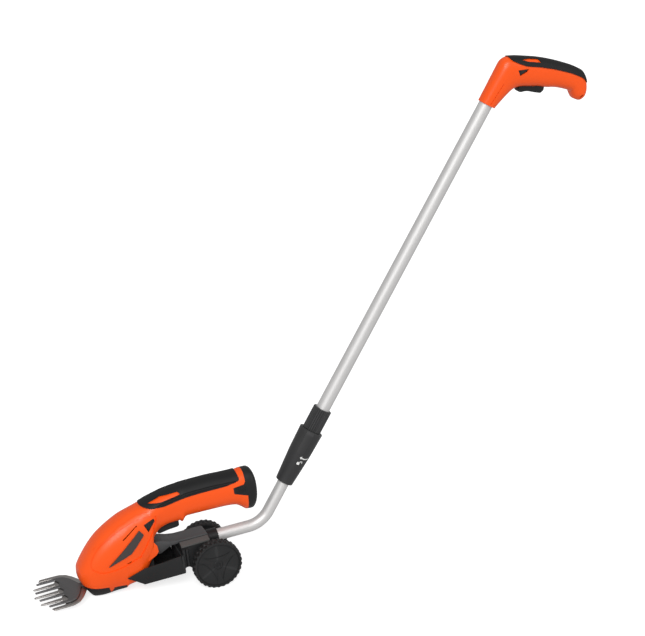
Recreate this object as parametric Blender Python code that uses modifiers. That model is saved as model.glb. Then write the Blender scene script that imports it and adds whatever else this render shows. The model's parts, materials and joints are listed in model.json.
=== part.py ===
"""Cordless grass shears docked in a two-wheeled trolley with a bent telescopic pole and a second handle.

Three frames are used, all in millimetres until a mesh is finished.
World: Z up, the blades point to -X, the ground is Z = 0.
Tool frame: origin on the wheel axle, pitched nose down. A point there is (u, w) in the side plane.
Pole frame: origin where the two straight runs of the lower tube would meet, Z up along the pole.
"""

import math

import bmesh
import bpy
from mathutils import Matrix, Vector

MM = 0.001
GAP = 0.3
FAR = 90.0

# Stance
PITCH = math.radians(7.6)

# Wheels and axle
WHEEL_R = 39.0
WHEEL_FACE_Y = 44.0
TYRE_WIDTH = 15.8
TYRE_INNER_R = 35.2
TREAD_DEPTH = 1.3
TREAD_LUGS = 30
DISC_THICK = 9.0
DISC_INSET = 0.8
RIM_WALL = 3.0
WEB_SLOPE = (2.5, 5.5)
HUB_R = 7.0
HUB_CAP_R = 7.2
HUB_CAP_THICK = 1.8
AXLE_R = 3.0
CLIP_R = 5.4
CLIP_THICK = 1.2
CLIP_SETBACK = 1.5

# Trolley moulding
HOUSING_FRONT = -50.0
HOUSING_REAR = 13.0
HOUSING_HALF = 24.0
HOUSING_TOP = 41.2
HOUSING_SHOULDER = 37.4
HOUSING_WALL = 3.5
ARM_HALF = 14.5
ARM_THICK = 3.0
ARM_REAR = -2.0
ARM_PLUG_EDGE = (
    (-80.7, 30.0),
    (-89.0, 32.0),
    (-90.4, 35.0),
    (-89.0, 52.4),
    (-84.0, 52.4),
    (-76.0, 51.0),
    (-63.0, 46.5),
)
ARM_FRONT = min(u for u, w in ARM_PLUG_EDGE)
ARM_UNDERSIDE = ((-50.3, 40.0), (-64.0, 39.0))
FLOOR_BOTTOM = -6.5
FLOOR_LIFT = 1.2
FLOOR_THICK = 2.5
FLOOR_FRONT = -115.0
WING_INNER = 30.6
WING_THICK = 2.4
WING_REAR = -52.2
WING_EDGE = (
    (-142.0, 13.0),
    (-119.6, -2.4),
    (-117.2, -4.6),
    (WING_REAR, -4.6),
    (WING_REAR - 2.0, 26.2),
    (-84.0, 23.6),
    (-113.0, 22.0),
)
DOCK_WALL = (-53.0, -49.4)
DOCK_WALL_TOP = 25.2
NOTCH = (-43.4, -6.6)
NOTCH_R = 7.0
SHOULDER_REAR = -2.0
SHOULDER_LOW = 22.0
SOCKET_END = 15.0
SOCKET_WALL = 2.8
CRADLE_REAR = -93.5
CRADLE_Y = 12.0
CRADLE_THICK = 2.5
CRADLE_CLEAR = 0.6
CONTACT_R = 1.5
CONTACT_Y = 6.0
CONTACT_W = 43.0
CONTACT_REACH = 10.0

# Pole tubes
TUBE_W = 28.8
TUBE_R = 9.5
TUBE_WALL = 1.0
TUBE_INSERT = 50.0
BEND_CORNER_U = 90.4
BEND_RADIUS = 44.0
POLE_ANGLE = math.radians(53.7)
UPPER_TUBE_R = 11.0
UPPER_TUBE_WALL = 0.8
TUBE_OVERLAP = 310.0
UPPER_TUBE_LENGTH = 655.0
TUBE_SCREW_U = -12.0
TUBE_SCREW_R = 2.0

# Clamp, measured along the pole from the lower end of its sleeve
CLAMP_Z = 75.3
SLEEVE_LENGTH = 93.5
SLEEVE_LOW_R = 14.1
SLEEVE_MID_R = 18.0
SLEEVE_TOP_R = 19.2
SLEEVE_MID_Z = 55.0
SLEEVE_BORE_R = 14.0
SLEEVE_LIP = 3.0
COLLAR_R = 15.0
COLLAR_LENGTH = 37.9
COLLAR_RIBS = 16
COLLAR_RIB_DEPTH = 0.5
SPIGOT_LENGTH = 44.0
SPIGOT_R = 13.6
COLLET_LENGTH = 36.0
COLLET_R = 13.4
COLLET_TIP_R = 10.4
COLLET_SLOT = 2.0
COLLET_SLOT_REACH = 30.0
UPPER_TUBE_START = 45.0

# Shears shell: one row for each section, top and bottom point in (u, w), then half widths there
SHELL_WALL = 2.6
SKIN_POWER = 2.4
BODY_RIBS = (
    ((-212.0, 31.0), (-211.6, 19.0), 9.0, 9.0, 2.4),
    ((-210.3, 38.7), (-208.5, 11.0), 17.0, 16.0, 2.4),
    ((-205.5, 46.5), (-205.0, 4.0), 22.0, 20.0, 2.4),
    ((-197.5, 57.3), (-199.5, -6.0), 26.5, 24.0, 2.4),
    ((-187.0, 70.0), (-192.0, -14.4), 30.0, 27.0, 2.4),
    ((-172.5, 83.8), (-176.0, -16.5), 33.5, 29.0, 2.4),
    ((-156.0, 94.8), (-160.0, -15.4), 35.5, 30.0, 2.4),
    ((-138.0, 104.3), (-143.8, -13.4), 36.5, 30.0, 3.0),
    ((-131.0, 107.2), (-139.8, -7.0), 36.5, 29.0, 5.0),
    ((-122.0, 110.1), (-118.5, -3.2), 36.0, 28.5, 5.0),
    ((-112.0, 113.0), (-108.0, 5.0), 35.0, 25.5, 3.6),
    ((-104.0, 115.3), (-100.0, 16.0), 34.0, 25.0, 3.2),
    ((-98.0, 117.2), (-95.0, 25.0), 32.5, 26.0, 3.0),
    ((-93.0, 118.7), (-92.6, 34.0), 31.0, 26.5, 3.0),
    ((-89.0, 120.1), (-91.5, 44.0), 30.0, 26.0, 3.0),
    ((-84.5, 121.4), (-90.0, 54.5), 28.5, 25.0, 2.6),
    ((-79.5, 123.0), (-84.0, 62.5), 27.5, 22.5, 2.8),
    ((-72.0, 125.1), (-75.5, 70.5), 26.0, 20.5, 3.0),
    ((-58.0, 128.1), (-57.0, 75.5), 24.5, 20.0, 3.2),
    ((-44.0, 130.2), (-42.6, 75.0), 23.0, 20.0, 3.0),
    ((-38.0, 130.8), (-38.5, 71.5), 22.5, 20.0, 2.8),
    ((-30.0, 131.6), (-30.5, 79.0), 21.8, 20.0, 2.6),
    ((8.0, 132.2), (8.0, 78.0), 21.0, 20.0, 2.4),
    ((34.0, 130.8), (34.0, 77.3), 21.3, 20.3, 2.4),
    ((50.0, 130.2), (50.0, 75.0), 21.8, 20.8, 2.4),
    ((58.0, 130.4), (58.5, 69.5), 22.3, 21.3, 2.4),
    ((66.5, 131.7), (67.0, 62.8), 22.6, 21.6, 2.4),
    ((76.0, 131.5), (75.4, 62.2), 22.6, 21.6, 2.4),
    ((82.2, 127.8), (80.4, 66.0), 21.5, 20.5, 2.4),
    ((85.6, 118.2), (83.9, 75.6), 18.5, 17.5, 2.4),
    ((86.4, 106.2), (85.5, 87.4), 10.0, 9.0, 2.4),
)
CHEEK_EDGE = ((-103.7, 61.3), (-93.0, 60.7), (-86.8, 50.5), (-85.7, 40.4), (-90.3, 34.8), (-103.7, 27.9))
CHEEK_OUTER = 25.2
CHEEK_THICK = 2.9
PAD_WALL = 1.3
CORE_INSET = 1.0
BUTTON_CLEAR = 0.6
PAD_EDGE = (
    (-113.0, 150.0),
    (-109.0, 121.0),
    (-100.0, 117.0),
    (-88.0, 113.5),
    (-66.0, 112.5),
    (-40.0, 116.0),
    (-14.0, 117.5),
    (38.0, 117.7),
    (58.5, 121.0),
    (54.5, 150.0),
)
PAD_WINDOW = ((-92.0, 119.0), (-69.0, 126.0), (-41.0, 127.8), (-37.5, 123.0), (-70.0, 119.0))
CAP_EDGE = (
    (68.5, 150.0),
    (67.0, 117.0),
    (64.0, 112.7),
    (47.0, 111.0),
    (47.0, 101.0),
    (68.5, 93.0),
    (68.5, 40.0),
)
CAP_REAR = 120.0
CAP_FRONT = 30.0
PAD_SPAN = (-135.0, 70.0)
PAD_SEAT_SPAN = (-140.0, 78.0)
BADGE_SPAN = (-200.0, -92.0)
BADGE_SEAT_SPAN = (-208.0, -87.0)
BADGE_INNER_Y = 5.0
SHOE_SPAN = (-270.0, -120.0)
BADGE_EDGE = ((-168.0, 40.0), (-112.0, 87.0), (-106.0, 78.0), (-130.0, 53.0))
BADGE_WALL = 0.6
SHOE_EDGE = ((-230.0, 9.2), (-205.0, 9.0), (-186.0, 5.2), (-168.0, 2.5), (-160.0, -1.0), (-142.6, -2.0))
LOCK_EDGE = ((-103.0, 92.4), (-87.0, 98.2), (-85.3, 94.2), (-97.3, 79.6))
LOCK_HALF = 26.5
TRIGGER_FRONT = -79.3
TRIGGER_REAR = -43.6
TRIGGER_HALF = 8.0
TRIGGER_TOP = 83.2
TRIGGER_FLANGE = 1.8
TRIGGER_FLANGE_OVER = 1.8
TRIGGER_TRAVEL = 3.5
TRIGGER_WALL = 1.8
TRIGGER_EDGE = (
    (TRIGGER_FRONT, 62.5),
    (TRIGGER_FRONT + 3.5, 61.0),
    (TRIGGER_REAR - 3.0, 64.6),
    (TRIGGER_REAR, 66.5),
)
TRIGGER_SLOT = (55.0, TRIGGER_TOP - TRIGGER_FLANGE - 1.4)
SWITCH_SPAN = (-66.0, -48.0)
SWITCH_W = TRIGGER_TOP + TRIGGER_TRAVEL + GAP
SWITCH_HEIGHT = 10.0
SWITCH_HALF = 3.3
TRIGGER_SPRING_U = -73.0
TRIGGER_SPRING_LENGTH = 8.2
SPRING_TOP_W = TRIGGER_TOP + TRIGGER_SPRING_LENGTH + 2 * GAP
SPRING_RIB = 2.5
SPRING_RIB_HALF = 3.0
BOARD_SPAN = (-78.0, -52.0)
BOARD_DROP = 16.6
BOARD_THICK = 1.6
CONTACT_WINDOW = (9.0, 4.0)
CONTACT_BLOCK = (8.0, 6.0)
SHELL_SCREWS = ((-184.0, 48.0), (-152.0, 82.0), (-119.5, 36.0), (-40.0, 104.0))

# Blades: plan points are (u, y)
BLADE_PIVOT_U = -196.0
COMB_W = 3.4
COMB_THICK = 2.2
CUTTER_THICK = 2.2
TINE_PITCH = 25.2
COMB_HALF = 52.0
COMB_TINES = 5
COMB_TIP_U = -283.5
COMB_ROOT_U = -245.0
CUTTER_TIP_U = -280.0
CUTTER_ROOT_U = -240.5
TIP_BOW = 4.2
COMB_TINE_HALF = (4.7, 1.6)
CUTTER_TINE_HALF = (3.3, 2.0)
OUTER_TINE_WIDTH = (8.5, 6.6)
OUTER_TIP_BEVEL = 3.0
COMB_NOTCH = 2.5
CUTTER_NOTCH = 3.5
NECK_HALF = 14.0
COMB_NECK_U = -202.0
COMB_SHOULDER = ((-204.6, 17.0), (-208.5, 25.0), (-214.0, 35.5), (-222.0, 46.0), (-232.0, 51.3))
CUTTER_NECK_U = -210.8
CUTTER_SHOULDER = ((-212.3, 10.5), (-215.5, 19.0), (-220.0, 29.0), (-227.0, 38.0), (-236.0, 41.6))
YOKE_DEPTH = 16.0
COMB_TAIL_U = -152.0
CUTTER_REST = math.radians(2.0)
CUTTER_TAIL_U = -156.0
CUTTER_TAIL_HALF = 6.0
YOKE_HALF = 2.8
PIVOT_R = 3.0
PIVOT_HEAD_R = 5.5
PIVOT_HEAD = 2.0
PIVOT_DEPTH = 9.0
BLADE_SLOT_HALF = 14.6
BLADE_SLOT_FLARE = ((-230.0, 15.4), (-204.0, 4.5), (-198.0, 0.0))

# Gear train over the blades
GEAR_U = -164.0
GEAR_MODULE = 1.0
GEAR_TEETH = 36
PINION_TEETH = 10
GEAR_W = 10.4
GEAR_THICK = 6.0
GEAR_SHAFT_R = 2.0
CRANK_RADIUS = 5.3
CRANK_PIN_R = 2.2
MOTOR_R = 14.5
MOTOR_LENGTH = 41.0
MOTOR_SHAFT_R = 1.2
PLATE_THICK = 2.0
PLATE_HALF = 20.5
PLATE_REACH = (24.0, 19.0)
SHAFT_DEPTH = 12.0
SHAFT_HEAD = 1.2
POST_R = 2.2
POST_REACH = (20.0, 12.0)
POST_FOOT = -2.0

# Power pack in the grip
CELL_R = 9.2
CELL_LENGTH = 65.0
CELL_FRONT = -12.0
HOLDER_WALL = 2.0
HOLDER_HALF = 20.0

# Top handle in the pole frame, measured from the lip of its socket
HANDLE_SOCKET = 32.0
HANDLE_LIP = UPPER_TUBE_START + UPPER_TUBE_LENGTH - HANDLE_SOCKET
HANDLE_WALL = 1.8
HANDLE_RIBS = (
    ((-12.5, 0.0), (14.6, 0.0), 13.5, 13.5, 2.2),
    ((-12.7, 24.0), (18.4, 15.1), 14.6, 14.6, 2.3),
    ((-13.3, 64.0), (26.2, 38.5), 16.5, 16.5, 2.5),
    ((-9.8, 75.0), (35.3, 47.5), 17.0, 17.0, 2.5),
    ((2.5, 83.0), (49.0, 54.3), 17.3, 17.0, 2.5),
    ((23.0, 92.0), (63.0, 61.0), 17.4, 17.0, 2.5),
    ((45.0, 100.4), (77.5, 66.0), 17.4, 16.6, 2.5),
    ((63.6, 105.8), (88.5, 71.3), 17.3, 16.3, 2.5),
    ((86.0, 110.8), (103.5, 76.0), 17.0, 16.2, 2.5),
    ((105.0, 113.8), (117.0, 78.5), 16.8, 16.2, 2.5),
    ((117.5, 114.4), (122.4, 74.8), 16.5, 16.0, 2.5),
    ((129.0, 109.2), (129.4, 71.0), 16.0, 15.6, 2.5),
    ((138.0, 98.3), (137.8, 72.0), 14.4, 14.2, 2.5),
    ((142.8, 88.5), (142.6, 78.0), 9.0, 9.0, 2.5),
)
HANDLE_PAD_EDGE = (
    (-9.0, 81.5),
    (-3.0, 76.5),
    (10.0, 77.5),
    (23.0, 79.5),
    (45.0, 88.5),
    (70.0, 96.5),
    (98.0, 103.0),
    (120.0, 105.5),
    (142.0, 101.0),
    (150.0, 160.0),
    (-9.0, 160.0),
)
HANDLE_LOCK_EDGE = ((14.0, 68.0), (28.5, 77.5), (27.5, 72.0), (21.0, 62.0))
HANDLE_LOCK_HALF = 15.0
HANDLE_TRIGGER_EDGE = (
    (34.0, 49.5),
    (34.0, 41.6),
    (37.0, 39.8),
    (41.5, 41.0),
    (45.0, 44.3),
    (51.0, 47.4),
    (63.0, 50.8),
    (72.5, 54.2),
    (74.5, 60.5),
    (70.5, 70.0),
    (31.5, 54.5),
)
HANDLE_TRIGGER_POCKET = ((37.0, 48.0), (46.0, 51.0), (62.0, 55.5), (70.5, 58.5), (66.0, 73.0), (31.0, 62.0))
HANDLE_TRIGGER_HALF = 7.0
HANDLE_SLOT_CLEAR = 0.5
HANDLE_SLOT_DROP = 6.0
HANDLE_SLOPE = math.radians(22.0)
HANDLE_TRIGGER_TRAVEL = 4.0
HANDLE_SPRING_FOOT = (60.5, 31.5)
HANDLE_SPRING_TOP = 43.3
HANDLE_SWITCH_ALONG = (66.5, 84.5)
HANDLE_SCREWS = ((34.0, 84.0), (112.0, 98.0))

# Fasteners and springs
SCREW_R = 1.3
SCREW_HEAD_R = 2.7
SCREW_HEAD = 2.2
SCREW_REACH = 10.0
BOSS_R = 4.2
SPRING_R = 3.0
SPRING_WIRE_R = 0.4
SPRING_TURNS = 4
SPRING_SEAT_HALF = 4.0


def fresh_scene():
    for obj in list(bpy.data.objects):
        bpy.data.objects.remove(obj, do_unlink=True)


def new_collection(name):
    collection = bpy.data.collections.new(name)
    bpy.context.scene.collection.children.link(collection)
    return collection


def material(name, color, roughness, metallic=0.0):
    mat = bpy.data.materials.new(name)
    mat.use_nodes = True
    shader = mat.node_tree.nodes["Principled BSDF"]
    shader.inputs["Base Color"].default_value = (*color, 1.0)
    shader.inputs["Roughness"].default_value = roughness
    shader.inputs["Metallic"].default_value = metallic
    return mat


fresh_scene()
PARTS = new_collection("grass_shears")
CUTTERS = new_collection("cutters")

ORANGE = material("orange_plastic", (1.0, 0.10, 0.010), 0.38)
BLACK = material("black_plastic", (0.030, 0.031, 0.032), 0.45)
GREY_BLACK = material("dark_grey_plastic", (0.075, 0.076, 0.078), 0.50)
SOFT_BLACK = material("black_soft_grip", (0.028, 0.028, 0.029), 0.65)
BADGE = material("badge_plate", (0.060, 0.050, 0.048), 0.40)
STEEL = material("blade_steel", (0.42, 0.40, 0.38), 0.35, 1.0)
DARK_STEEL = material("coated_blade_steel", (0.085, 0.085, 0.085), 0.40, 0.8)
BRIGHT_STEEL = material("bright_steel", (0.62, 0.62, 0.62), 0.25, 1.0)
ALUMINIUM = material("satin_aluminium", (0.80, 0.79, 0.77), 0.30, 1.0)
BRASS = material("brass", (0.75, 0.55, 0.22), 0.30, 1.0)
NYLON = material("white_nylon", (0.78, 0.77, 0.72), 0.50)
CELL_WRAP = material("cell_wrap", (0.05, 0.22, 0.50), 0.45)
BOARD_GREEN = material("board_green", (0.02, 0.20, 0.08), 0.50)


def bm_to_object(name, bm, collection, parent, origin=(0.0, 0.0, 0.0)):
    """An object from a bmesh in millimetres of its parent's frame, with its own origin at the point given."""
    bmesh.ops.translate(bm, vec=-Vector(origin), verts=bm.verts)
    bmesh.ops.scale(bm, vec=(MM, MM, MM), verts=bm.verts)
    bmesh.ops.recalc_face_normals(bm, faces=bm.faces)
    mesh = bpy.data.meshes.new(name)
    bm.to_mesh(mesh)
    bm.free()
    obj = bpy.data.objects.new(name, mesh)
    collection.objects.link(obj)
    obj.parent = parent
    obj.location = Vector(origin) * MM
    return obj


def piece(name, bm, mat, parent, origin=(0.0, 0.0, 0.0)):
    """A finished sub-part of the model."""
    obj = bm_to_object(name, bm, PARTS, parent, origin)
    obj.data.shade_smooth()
    obj.data.set_sharp_from_angle(angle=math.radians(35.0))
    obj.data.materials.append(mat)
    return obj


def helper(name, bm, parent):
    """A cutter, or a solid that is joined to a piece."""
    obj = bm_to_object(name, bm, CUTTERS, parent)
    obj.hide_render = True
    obj.display_type = "WIRE"
    return obj


def combine(obj, operation, *others):
    for other in others:
        modifier = obj.modifiers.new(f"{operation.lower()}_{other.name}", "BOOLEAN")
        modifier.operation = operation
        modifier.solver = "EXACT"
        modifier.object = other


def cut(obj, *others):
    combine(obj, "DIFFERENCE", *others)


def join(obj, *others):
    combine(obj, "UNION", *others)


def keep(obj, *others):
    combine(obj, "INTERSECT", *others)


def merged(*bms):
    """One bmesh holding separate solids."""
    target = bms[0]
    for source in bms[1:]:
        mesh = bpy.data.meshes.new("part_of_group")
        source.to_mesh(mesh)
        source.free()
        target.from_mesh(mesh)
        bpy.data.meshes.remove(mesh)
    return target


def box(low, high):
    low, high = Vector(low), Vector(high)
    bm = bmesh.new()
    place = Matrix.Translation((low + high) / 2) @ Matrix.Diagonal((*(high - low), 1.0))
    bmesh.ops.create_cube(bm, size=1.0, matrix=place)
    return bm


def rod(start, end, radius, segments=16, end_radius=None):
    """A cylinder or a cone between two points."""
    start, end = Vector(start), Vector(end)
    axis = end - start
    turn = Vector((0.0, 0.0, 1.0)).rotation_difference(axis).to_matrix().to_4x4()
    bm = bmesh.new()
    bmesh.ops.create_cone(
        bm,
        cap_ends=True,
        segments=segments,
        radius1=radius,
        radius2=radius if end_radius is None else end_radius,
        depth=axis.length,
        matrix=Matrix.Translation((start + end) / 2) @ turn,
    )
    return bm


def curve_to_bm(curve):
    """The mesh of a curve, with its caps welded, in the curve's own units."""
    guide = bpy.data.objects.new("guide", curve)
    CUTTERS.objects.link(guide)
    graph = bpy.context.evaluated_depsgraph_get()
    mesh = bpy.data.meshes.new_from_object(guide.evaluated_get(graph))
    bm = bmesh.new()
    bm.from_mesh(mesh)
    bmesh.ops.remove_doubles(bm, verts=bm.verts, dist=0.001)
    bpy.data.objects.remove(guide, do_unlink=True)
    bpy.data.meshes.remove(mesh)
    return bm


def flat(loops, low, high):
    """A flat outline, with holes where more loops follow the first, thickened from low to high along Z."""
    curve = bpy.data.curves.new("outline", "CURVE")
    curve.dimensions = "2D"
    curve.fill_mode = "BOTH"
    curve.extrude = (high - low) / 2
    for loop in loops:
        spline = curve.splines.new("POLY")
        spline.points.add(len(loop) - 1)
        for point, (x, y) in zip(spline.points, loop):
            point.co = (x, y, 0.0, 1.0)
        spline.use_cyclic_u = True
    bm = curve_to_bm(curve)
    bmesh.ops.translate(bm, vec=(0.0, 0.0, (low + high) / 2), verts=bm.verts)
    return bm


def side_plate(outline, low, high, *holes):
    """An outline in the side plane (u, w), from y = low to y = high."""
    bm = flat((outline, *holes), -high, -low)
    bmesh.ops.rotate(bm, matrix=Matrix.Rotation(math.radians(90.0), 3, "X"), verts=bm.verts)
    return bm


def front_plate(outline, low, high):
    """An outline in the plane across the tool (y, w), from u = low to u = high."""
    bm = flat((outline,), low, high)
    bmesh.ops.transform(
        bm,
        matrix=Matrix(((0, 0, 1, 0), (1, 0, 0, 0), (0, 1, 0, 0), (0, 0, 0, 1))),
        verts=bm.verts,
    )
    return bm


def circle(centre, radius, segments=16):
    steps = (2 * math.pi * k / segments for k in range(segments))
    return [(centre[0] + radius * math.cos(a), centre[1] + radius * math.sin(a)) for a in steps]


def tube_bm(points, radius, wall, bevel_resolution):
    """A hollow tube with open ends along the points."""
    curve = bpy.data.curves.new("tube", "CURVE")
    curve.dimensions = "3D"
    curve.bevel_depth = radius - wall / 2
    curve.bevel_resolution = bevel_resolution
    spline = curve.splines.new("POLY")
    spline.points.add(len(points) - 1)
    for point, place in zip(spline.points, points):
        point.co = (*place, 1.0)
    bm = curve_to_bm(curve)
    bmesh.ops.recalc_face_normals(bm, faces=bm.faces)
    return bm


def solidify(obj, wall):
    modifier = obj.modifiers.new("wall", "SOLIDIFY")
    modifier.thickness = wall * MM
    modifier.offset = 0.0
    modifier.use_even_offset = True


def section(rib, lift, half_count):
    """Points round one section between its top and bottom point, grown by lift, rounder above than below."""
    top, bottom, half_top, half_bottom, power_below = rib
    top, bottom = Vector(top), Vector(bottom)
    axis = top - bottom
    half = axis.length / 2 + lift
    axis.normalize()
    centre = (top + bottom) / 2
    points = []
    for k in range(2 * half_count):
        angle = math.pi * (0.5 - k / half_count)
        power = SKIN_POWER if math.sin(angle) > -0.01 else power_below
        along = math.copysign(abs(math.sin(angle)) ** (2 / power), math.sin(angle))
        across = math.copysign(abs(math.cos(angle)) ** (2 / power), math.cos(angle))
        width = half_bottom + (half_top - half_bottom) * (along + 1) / 2 + lift
        place = centre + axis * half * along
        points.append(Vector((place.x, -across * width, place.y)))
    return points


def ribs_between(front, rear):
    return [rib for rib in BODY_RIBS if front < rib[0][0] < rear]


def loft(ribs, lift, half_count=8):
    """A closed skin through the sections, because no primitive or modifier joins unlike sections."""
    bm = bmesh.new()
    rings = [[bm.verts.new(point) for point in section(rib, lift, half_count)] for rib in ribs]
    for ring, following in zip(rings, rings[1:]):
        for k in range(len(ring)):
            j = (k + 1) % len(ring)
            bm.faces.new((ring[k], ring[j], following[j], following[k]))
    bm.faces.new(rings[0])
    bm.faces.new(reversed(rings[-1]))
    bmesh.ops.recalc_face_normals(bm, faces=bm.faces)
    return bm


def shifted(outline, du, dw):
    return [(u + du, w + dw) for u, w in outline]


def grown(outline, amount):
    """The outline with each point moved out from its middle, for a clearance round a small opening."""
    middle = Vector((sum(p[0] for p in outline), sum(p[1] for p in outline))) / len(outline)
    points = []
    for point in outline:
        out = Vector(point) - middle
        points.append(tuple(middle + out * (1 + amount / out.length)))
    return points


def ground_w(u):
    """Height in the tool frame of the ground plane below the point u."""
    return -(WHEEL_R + u * math.sin(PITCH)) / math.cos(PITCH)


def world_x(u, w):
    """Distance of a tool frame point from the axle along world X."""
    return u * math.cos(PITCH) - w * math.sin(PITCH)


def pole_to_tool(x, z):
    """A point of the pole's side plane in the tool frame."""
    lean = math.pi / 2 - POLE_ANGLE
    u = BEND_CORNER_U + x * math.cos(lean) + z * math.sin(lean)
    return u, TUBE_W - x * math.sin(lean) + z * math.cos(lean)


HANDLE_Z = CLAMP_Z + HANDLE_LIP


def axle_world_x():
    """World X of the axle that centres the whole object on the origin."""
    front = world_x(COMB_TIP_U, COMB_W)
    rear = max(world_x(*pole_to_tool(rib[0][0], rib[0][1] + HANDLE_Z)) for rib in HANDLE_RIBS)
    return -(front + rear) / 2


def empty(name, parent, location, rotation):
    obj = bpy.data.objects.new(name, None)
    PARTS.objects.link(obj)
    obj.parent = parent
    obj.location = Vector(location) * MM
    obj.rotation_euler = rotation
    return obj


TOOL = empty("tool_frame", None, (axle_world_x(), 0.0, WHEEL_R), (0.0, -PITCH, 0.0))
POLE = empty("pole_frame", TOOL, (BEND_CORNER_U, 0.0, TUBE_W), (0.0, math.pi / 2 - POLE_ANGLE, 0.0))


def turned(name, profile, mat, parent, steps, origin, axis="Z"):
    """A solid of revolution. The profile is (radius, height), down its outer side and back up its bore."""
    bm = bmesh.new()
    verts = [bm.verts.new((radius * MM, 0.0, height * MM)) for radius, height in profile]
    for vert, following in zip(verts, verts[1:]):
        bm.edges.new((vert, following))
    if profile[0][0] > 0.0:
        bm.edges.new((verts[-1], verts[0]))
    mesh = bpy.data.meshes.new(name)
    bm.to_mesh(mesh)
    bm.free()
    obj = bpy.data.objects.new(name, mesh)
    PARTS.objects.link(obj)
    obj.parent = parent
    obj.location = Vector(origin) * MM
    if axis == "Y":
        obj.rotation_euler = (math.radians(-90.0), 0.0, 0.0)
    screw = obj.modifiers.new("turn", "SCREW")
    screw.steps = steps
    screw.render_steps = steps
    screw.use_merge_vertices = True
    screw.merge_threshold = 0.00001
    screw.use_smooth_shade = True
    obj.data.materials.append(mat)
    return obj


# Wheels and axle


def lug_outline(radius, depth, count):
    """Round outline with shallow lugs, four points to a lug."""
    points = []
    for k in range(4 * count):
        reach = radius if k % 4 < 2 else radius - depth
        angle = 2 * math.pi * (k + 0.5) / (4 * count)
        points.append((reach * math.cos(angle), reach * math.sin(angle)))
    return points


def wheel(name, side):
    """Tyre, disc and hub cap of one wheel, each turning about the axle. Side is -1 on the left."""
    face = side * WHEEL_FACE_Y
    inner = side * (WHEEL_FACE_Y - TYRE_WIDTH)
    low, high = sorted((face, inner))
    tread = lug_outline(WHEEL_R, TREAD_DEPTH, TREAD_LUGS)
    tyre = side_plate(tread, low, high, circle((0, 0), TYRE_INNER_R, 36))
    piece(f"tyre_{name}", tyre, BLACK, TOOL)
    rim = TYRE_INNER_R - GAP
    top = WHEEL_FACE_Y - DISC_INSET
    bottom = top - DISC_THICK
    hub_end = HOUSING_HALF + GAP
    cap_seat = top - HUB_CAP_THICK - GAP
    pocket = CLIP_THICK + CLIP_SETBACK + GAP
    bore = AXLE_R + GAP
    profile = (
        (HUB_CAP_R + GAP, top),
        (rim, top),
        (rim, bottom),
        (rim - RIM_WALL, bottom),
        (rim - RIM_WALL, top - WEB_SLOPE[0]),
        (CLIP_R + RIM_WALL, top - WEB_SLOPE[1]),
        (HUB_R, bottom),
        (HUB_R, hub_end),
        (bore, hub_end),
        (bore, cap_seat - pocket),
        (CLIP_R + GAP, cap_seat - pocket),
        (CLIP_R + GAP, cap_seat),
        (HUB_CAP_R + GAP, cap_seat),
    )
    profile = [(radius, height * side) for radius, height in profile]
    if side < 0:
        profile.reverse()
    turned(f"wheel_disc_{name}", profile, BLACK, TOOL, 36, (0, 0, 0), "Y")
    cap = rod((0, side * (cap_seat + GAP), 0), (0, side * top, 0), HUB_CAP_R, 24)
    piece(f"hub_cap_{name}", cap, BLACK, TOOL)
    clip_in = side * (cap_seat - pocket + GAP)
    clip = side_plate(
        circle((0, 0), CLIP_R, 16),
        min(clip_in, clip_in + side * CLIP_THICK),
        max(clip_in, clip_in + side * CLIP_THICK),
        circle((0, 0), AXLE_R + GAP, 16),
    )
    piece(f"axle_clip_{name}", clip, BRIGHT_STEEL, TOOL)
    return cap_seat


def wheels_and_axle():
    for name, side in (("left", -1), ("right", 1)):
        cap_seat = wheel(name, side)
    reach = cap_seat - GAP
    piece("axle", rod((0, -reach, 0), (0, reach, 0), AXLE_R, 16), BRIGHT_STEEL, TOOL)


# Trolley


def lobe_underside(u):
    """Height of the shell's keel at u, read from the sections."""
    keel = [rib[1] for rib in BODY_RIBS]
    for (u0, w0), (u1, w1) in zip(keel, keel[1:]):
        if u0 <= u <= u1:
            return w0 + (w1 - w0) * (u - u0) / (u1 - u0)
    return keel[-1][1]


def cradle_rib(y):
    """A rib that rises from the floor and carries the shell's lobe."""
    steps = 5
    top = []
    for k in range(steps + 1):
        u = FLOOR_FRONT + (CRADLE_REAR - FLOOR_FRONT) * k / steps
        top.append((u, lobe_underside(u) - CRADLE_CLEAR))
    foot = FLOOR_BOTTOM + 2 * FLOOR_LIFT
    outline = [(CRADLE_REAR, foot), (FLOOR_FRONT, foot), *top]
    return side_plate(outline, y - CRADLE_THICK / 2, y + CRADLE_THICK / 2)


def wing(side):
    """Flank of the dock, tapering to a point beside the shell."""
    edges = sorted((side * WING_INNER, side * (WING_INNER + WING_THICK)))
    return side_plate(WING_EDGE, *edges)


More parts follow.
